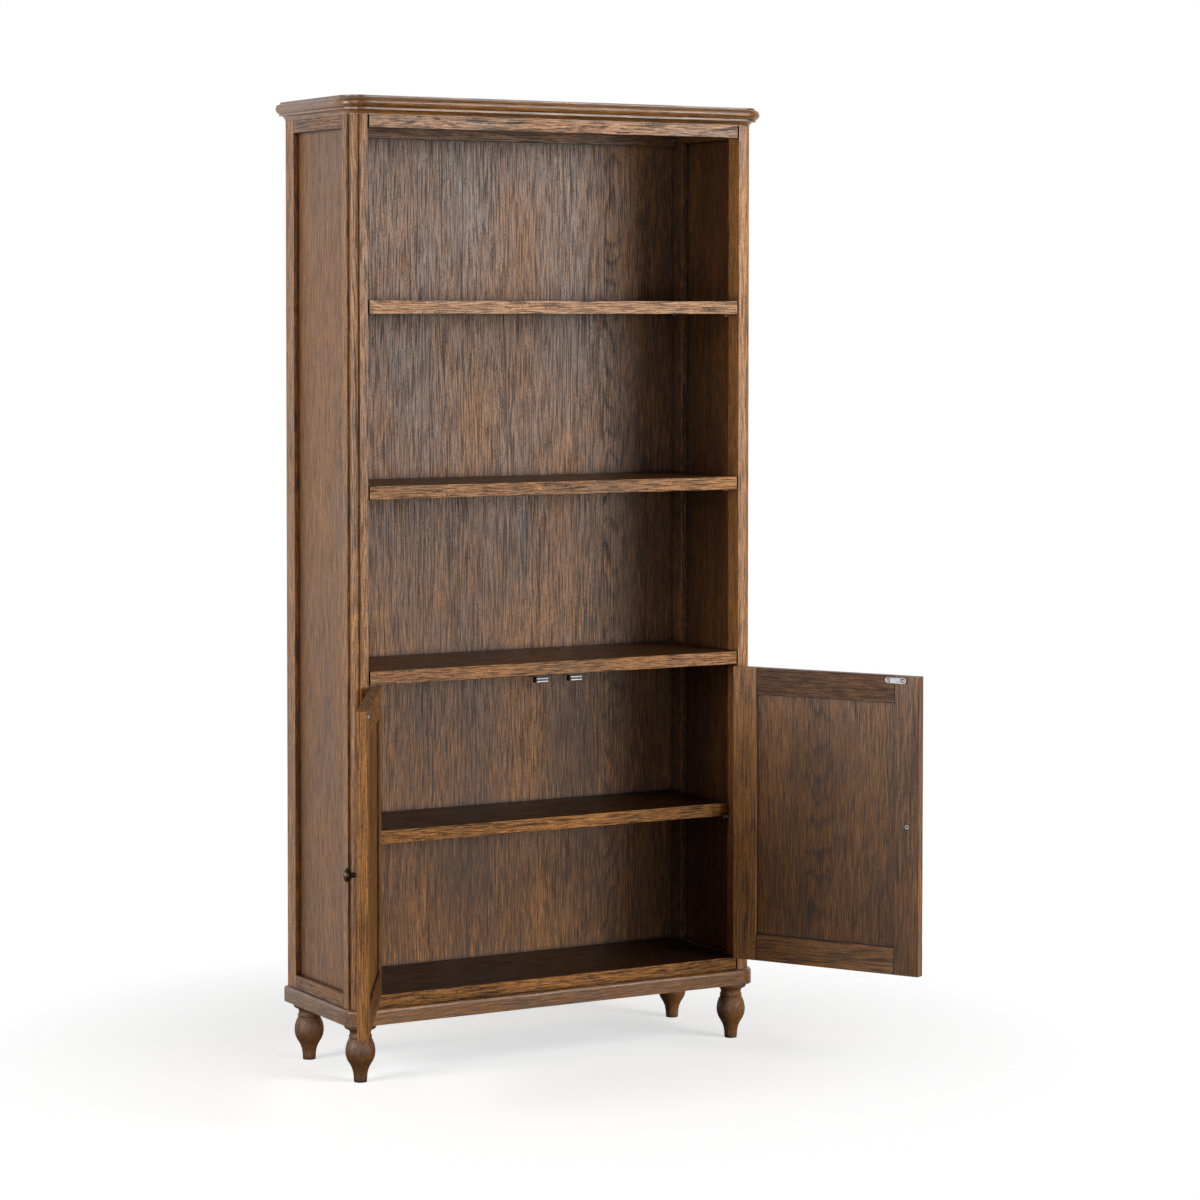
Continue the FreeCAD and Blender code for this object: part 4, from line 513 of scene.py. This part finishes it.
# Painted shade: a darker copy for the low shelves in the deep bays
SHADED_LOW_SHELF = {**SHELF, "tone": -0.20, "lit_front": 0.32, "shine": 0.15}
# Rail fronts are painted paler as well: painted light
RAIL = {"tone": -0.02, "contrast": 1.2, "lit_front": 0.18, "run": 1.6}
STRIP = {"tone": 0.15, "run": 1.3}
MOULDING = {"tone": 0.06, "contrast": 0.90, "rough": 0.80, "coat": 0.3}
# Painted shade: a darker copy for the left side of the plinth
SHADED_MOULDING = {**MOULDING, "tone": -0.01}
FOOT = {"tone": 0.02, "contrast": 0.60, "rough": 1.15, "figure": 0.3}
# Painted shade: a darker copy for the feet on the left
SHADED_FOOT = {**FOOT, "tone": -0.06}
POST = {"tone": 0.21, "contrast": 1.05, "run": 1.3, "corner_shade": 0.55}
# Painted shade: a darker copy for the left post
SHADED_POST = {**POST, "tone": 0.13}
DOOR_PANEL = {"tone": 0.045, "figure": 1.0}
DOOR_RAIL = {"tone": 0.0}
PALE_DOOR_RAIL = {"tone": 0.17}
MATT_DOOR_RAIL = {"tone": -0.01, "shine": 0.20}
STILE = {"tone": 0.02, "run": 0.8}
# Painted light: a paler copy for the left door's free stile
LIT_STILE = {**STILE, "tone": 0.14, "shine": 0.20}
# Painted light: a paler copy for the right door's hinge stile
LIT_HINGE_STILE = {**STILE, "tone": 0.24}
KINDS = {
    "back_panel": SHEET, "left_side_panel": SIDE, "right_side_panel": SHADED_INNER,
    "left_rear_stile": STRIP, "right_rear_stile": SHADED_INNER, "ceiling_board": SHADED_CEILING,
    "top_board": MOULDING, "cornice_front": MOULDING, "cornice_left": MOULDING,
    "cornice_right": MOULDING, "plinth_front": MOULDING, "plinth_left": SHADED_MOULDING,
    "plinth_right": MOULDING, "left_front_post": SHADED_POST, "right_front_post": POST,
    "front_left_foot": SHADED_FOOT, "front_right_foot": FOOT, "rear_left_foot": SHADED_FOOT,
    "rear_right_foot": FOOT, "top_rail": RAIL, "shelf_1": TOP_SHELF, "shelf_2": SHELF,
    "shelf_3": SHELF, "shelf_4": SHADED_LOW_SHELF, "bottom_board": SHADED_LOW_SHELF,
}
# The doors' pieces, by their names without the side, and those of one door that differ
DOOR_KINDS = {
    "free_stile": STILE, "hinge_stile": STILE, "panel": DOOR_PANEL, "bottom_rail": DOOR_RAIL,
    "top_rail": RAIL, "left_door_free_stile": LIT_STILE,
    "right_door_hinge_stile": LIT_HINGE_STILE, "right_door_bottom_rail": PALE_DOOR_RAIL,
    "right_door_top_rail": MATT_DOOR_RAIL,
}
# Which way each door is turned open, in degrees about the vertical
DOOR_TURNS = {"left": -LEFT_OPEN, "right": RIGHT_OPEN}


def gap(names, along, turn):
    """Middle and half of the gap between two pieces along an axis, turned with a door."""
    spin = Matrix.Rotation(math.radians(-turn), 3, "Z")
    axis = "xyz".index(along)
    spans = []
    for name in names:
        places = [(spin @ v.co)[axis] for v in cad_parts[name].data.vertices]
        spans.append((min(places), max(places)))
    (_, low), (high, _) = sorted(spans)
    return (low + high) / 2, (high - low) / 2


def frame_seams(uprights, rails, panel, along, turn=0.0):
    """The seams of a frame's rails with its uprights, and of its panel with both."""
    width = gap(uprights, along, turn)
    height = gap(rails, "z", turn)
    seams = {rail: (("Z", *width),) for rail in rails}
    seams[panel] = ((along.upper(), *width), ("Z", *height))
    return seams


def all_seams():
    """The seams of every framed piece on the cabinet's sides and doors, by its name."""
    seams = {}
    for side, turn in DOOR_TURNS.items():
        seams.update(frame_seams((f"{side}_front_post", f"{side}_rear_stile"),
                                 (f"{side}_side_bottom_rail", f"{side}_side_top_rail"),
                                 f"{side}_side_panel", "y"))
        door = f"{side}_door"
        seams.update(frame_seams((f"{door}_hinge_stile", f"{door}_free_stile"),
                                 (f"{door}_bottom_rail", f"{door}_top_rail"),
                                 f"{door}_panel", "x", turn))
    return seams


def dress_wood():
    """Give each wooden piece its own oak."""
    seams = all_seams()
    seed = 1
    for along, names in GRAIN.items():
        for name in names:
            look = KINDS.get(name, SOLID)
            dress(name, oak(f"oak_{name}", along, seed, seams=seams.get(name, ()), **look))
            seed += 1
    for side, turn in DOOR_TURNS.items():
        for parts, along in ((DOOR_UPRIGHT, "z"), (DOOR_LEVEL, "x")):
            for part in parts:
                name = f"{side}_door_{part}"
                look = DOOR_KINDS.get(name, DOOR_KINDS[part])
                dress(name, oak(f"oak_{name}", along, seed, turn, seams.get(name, ()), **look))
                seed += 1


def dress_fittings():
    """Give the knobs, plates, screws, hinges and catches their metals and plastic."""
    for names, material in (
            (BRONZE, bronze()),
            (BRIGHT, steel("bright_steel", (0.92, 0.92, 0.91), 0.30, 0.10)),
            (NICKEL, steel("nickel_plate", (0.52, 0.52, 0.515), 0.34, 0.30)),
            (STEEL, steel("zinc_steel")),
            (PLASTIC, catch_plastic())):
        for name in names:
            dress(name, material)


# Marks round the screw heads on the doors' inner sides, near black: painted shade. The first is
# a dark seam, the painted shade of the gap round the head: a ring of so many times the head's
# radius, with a fine section that is flattened to a share of its width
KNOB_SEAM, KNOB_SEAM_SECTION = 1.08, 0.0003
PLATE_SEAM, PLATE_SEAM_SECTION = 1.36, 0.0009
SEAM_HEIGHT = 0.25
# The second is a cross recess, painted near black for its shade: its reach and half width in head
# radii, and its depth in metres
CROSS_REACH, CROSS_HALF_WIDTH, CROSS_DEPTH = 0.58, 0.15, 0.00012
# The first cross's turn in radians. Each one after it is turned by one radian more
CROSS_TURN = 0.5
# A screw's vertices lie this near its level, and those of its outer face this near the top
SCREW_REACH = 0.0047
SAME_FACE = 0.00002


def screw_heads(side, along, inward):
    """Middle, radius, seam radius and seam section of the screw faces inside a door."""
    places = [v.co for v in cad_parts[f"{side}_door_screws"].data.vertices]
    heads = []
    for carrier, count, seam, section in (
            ("knob", 1, KNOB_SEAM, KNOB_SEAM_SECTION),
            ("strike_plate", 2, PLATE_SEAM, PLATE_SEAM_SECTION)):
        low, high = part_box(f"{side}_{carrier}")
        level = (low[2] + high[2]) / 2
        near = [v for v in places if abs(v.z - level) < SCREW_REACH]
        top = max(v.dot(inward) for v in near)
        face = sorted((v for v in near if v.dot(inward) > top - SAME_FACE),
                      key=lambda v: v.dot(along))
        share = len(face) // count
        for first in range(0, share * count, share):
            rim = face[first:first + share]
            middle = sum(rim, Vector()) / len(rim)
            radius = max((v - middle).length for v in rim)
            heads.append((middle, radius, seam * radius, section))
    return heads


def add_ring(mesh, head, radius, section, around=32, across=8):
    """Painted shade of the gap round a screw head, as a fine flattened torus half sunk in the
    face.
    """
    rows = []
    for i in range(around):
        turn = 2 * math.pi * i / around
        row = []
        for j in range(across):
            roll = 2 * math.pi * j / across
            reach = radius + section * math.cos(roll)
            place = Vector((reach * math.cos(turn), reach * math.sin(turn),
                            SEAM_HEIGHT * section * math.sin(roll)))
            row.append(mesh.verts.new(head @ place))
        rows.append(row)
    for i, row in enumerate(rows):
        after = rows[(i + 1) % around]
        for j in range(across):
            k = (j + 1) % across
            mesh.faces.new((row[j], after[j], after[k], row[k]))


def add_cross(mesh, head, reach, half, depth):
    """The cross recess of a screw, as a shallow four-armed form with sloping sides."""
    layers = []
    for size, height in ((1.0, -depth), (0.9, depth)):
        a, b = reach * size, half * size
        outline = [(a, -b), (a, b), (b, b), (b, a), (-b, a), (-b, b), (-a, b), (-a, -b),
                   (-b, -b), (-b, -a), (b, -a), (b, -b)]
        layers.append([mesh.verts.new(head @ Vector((x, y, height))) for x, y in outline])
    low, high = layers
    mesh.faces.new(high)
    mesh.faces.new(list(reversed(low)))
    for i in range(len(low)):
        j = (i + 1) % len(low)
        mesh.faces.new((low[i], low[j], high[j], high[i]))


def screw_marks(side, angle):
    """Seams and cross recesses of the screws on a door's inner side, near black: painted shade.
    """
    turn = Matrix.Rotation(math.radians(angle), 3, "Z")
    along = turn @ Vector((-1 if side == "right" else 1, 0, 0))
    inward = turn @ Vector((0, 1, 0))
    axes = Matrix((along, Vector((0, 0, 1)), inward)).transposed().to_4x4()
    mesh = bmesh.new()
    for number, (middle, radius, seam, section) in enumerate(screw_heads(side, along, inward)):
        spin = Matrix.Rotation(CROSS_TURN + number, 4, "Z")
        head = Matrix.Translation(middle) @ axes @ spin
        add_ring(mesh, head, seam, section)
        add_cross(mesh, head, CROSS_REACH * radius, CROSS_HALF_WIDTH * radius, CROSS_DEPTH)
    bmesh.ops.recalc_face_normals(mesh, faces=mesh.faces)
    data = bpy.data.meshes.new(f"{side}_screw_marks")
    mesh.to_mesh(data)
    mesh.free()
    piece = bpy.data.objects.new(f"{side}_screw_marks", data)
    bpy.context.scene.collection.objects.link(piece)
    # Near black and not metal: painted shade in the gaps and recesses
    data.materials.append(steel(f"{side}_screw_painted_shade", (0.012, 0.011, 0.010), 0.5, 0.0))
    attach(piece, f"{side}_door")


def area_light(name, place, target, size, power):
    """A rectangular soft box at a place, aimed at a target."""
    data = bpy.data.lights.new(name, "AREA")
    data.shape = "RECTANGLE"
    data.size, data.size_y = size
    data.energy = power
    item = bpy.data.objects.new(name, data)
    bpy.context.scene.collection.objects.link(item)
    aim = (Vector(target) - Vector(place)).to_track_quat("-Z", "Y")
    item.matrix_world = Matrix.Translation(place) @ aim.to_matrix().to_4x4()
    return item


# The floor is a square of this half size, and fades out between these distances from its middle
FLOOR_HALF = 6.0
FADE_START, FADE_END = 0.50, 1.10
# Its grey as it lights the wood and as it is seen, and how strongly it then glows
FLOOR_GREYS = (0.25, 0.95)
FLOOR_GLOW = 0.60


def floor():
    """Pale floor that runs out into the white surround."""
    data = bpy.data.meshes.new("floor")
    far = FLOOR_HALF
    data.from_pydata([(-far, -far, 0), (far, -far, 0), (far, far, 0), (-far, far, 0)],
                     [], [(0, 1, 2, 3)])
    item = bpy.data.objects.new("floor", data)
    bpy.context.scene.collection.objects.link(item)
    material, n, shader, place = new_material("pale_floor")
    shader.inputs["Roughness"].default_value = 0.9
    shader.inputs["Specular IOR Level"].default_value = 0.1
    shader.inputs["Emission Color"].default_value = (1, 1, 1, 1)
    # It is seen paler than it lights the wood
    seen = n.add("ShaderNodeLightPath").outputs["Is Camera Ray"]
    n.join(n.span(seen, 0, 1, *FLOOR_GREYS), shader.inputs["Base Color"])
    n.join(n.span(seen, 0, 1, 0.0, FLOOR_GLOW), shader.inputs["Emission Strength"])
    fade = n.span(n.vector("LENGTH", place), FADE_START, FADE_END)
    both = n.add("ShaderNodeMixShader", {"Fac": fade})
    n.join(shader, both.inputs[1])
    n.join(n.add("ShaderNodeBsdfTransparent"), both.inputs[2])
    n.join(both, n.tree.nodes["Material Output"].inputs["Surface"])
    data.materials.append(material)


# Soft boxes: name, place, target, width and height, and power in watts
LIGHTS = (
    ("key", (6.0, -10.0, 1.7), (0, 0, 1.0), (6.0, 3.0), 580),
    ("key_upper", (2.0, -3.0, 2.7), (0, 0, 1.2), (1.6, 1.2), 40),
    ("left", (-3.8, -0.6, 1.4), (0, 0, 0.9), (1.8, 1.8), 74),
    ("front", (0.5, -6.0, 0.9), (0, 0, 0.7), (2.5, 2.0), 38),
    ("rim", (-3.5, 4.5, 1.6), (0, 0, 1.0), (5.0, 2.4), 18),
)
# These only show as a gleam on varnish and rounded edges
GLEAMS = (
    ("gleam", (-3.4, -4.2, 1.6), (0, 0, 1.0), (1.6, 2.4), 110),
    ("side_gleam", (-3.8, -0.6, 1.1), (0, 0, 1.0), (1.8, 1.8), 55),
)
# Only the rear half of the surround is mirrored, from this much forward to this much behind
MIRROR_START, MIRROR_FULL = -0.2, 0.3


def surround():
    """White surround: seen directly or mirrored it is white, and it lights nothing diffusely."""
    world = bpy.data.worlds.new("studio")
    world.use_nodes = True
    bpy.context.scene.world = world
    n = Nodes(world.node_tree)
    background = n.tree.nodes["Background"]
    background.inputs["Color"].default_value = (1, 1, 1, 1)
    path = n.add("ShaderNodeLightPath").outputs
    way = n.add("ShaderNodeTexCoord").outputs["Generated"]
    behind = n.add("ShaderNodeSeparateXYZ", {"Vector": way}).outputs["Y"]
    rear = n.span(behind, MIRROR_START, MIRROR_FULL)
    mirrored = n.math("MULTIPLY", path["Is Glossy Ray"], rear)
    shown = n.math("MAXIMUM", path["Is Camera Ray"], mirrored)
    n.join(n.span(shown, 0, 1, 0.0, 1.0), background.inputs["Strength"])


def studio():
    """Plain soft studio light: most of it from the right front and the left, some from behind."""
    surround()
    for light in LIGHTS:
        area_light(*light)
    for light in GLEAMS:
        area_light(*light).visible_diffuse = False


bpy.context.scene.view_settings.view_transform = "Standard"
camera()
floor()
studio()
dress_wood()
dress_fittings()
for door_side, door_turn in DOOR_TURNS.items():
    screw_marks(door_side, door_turn)
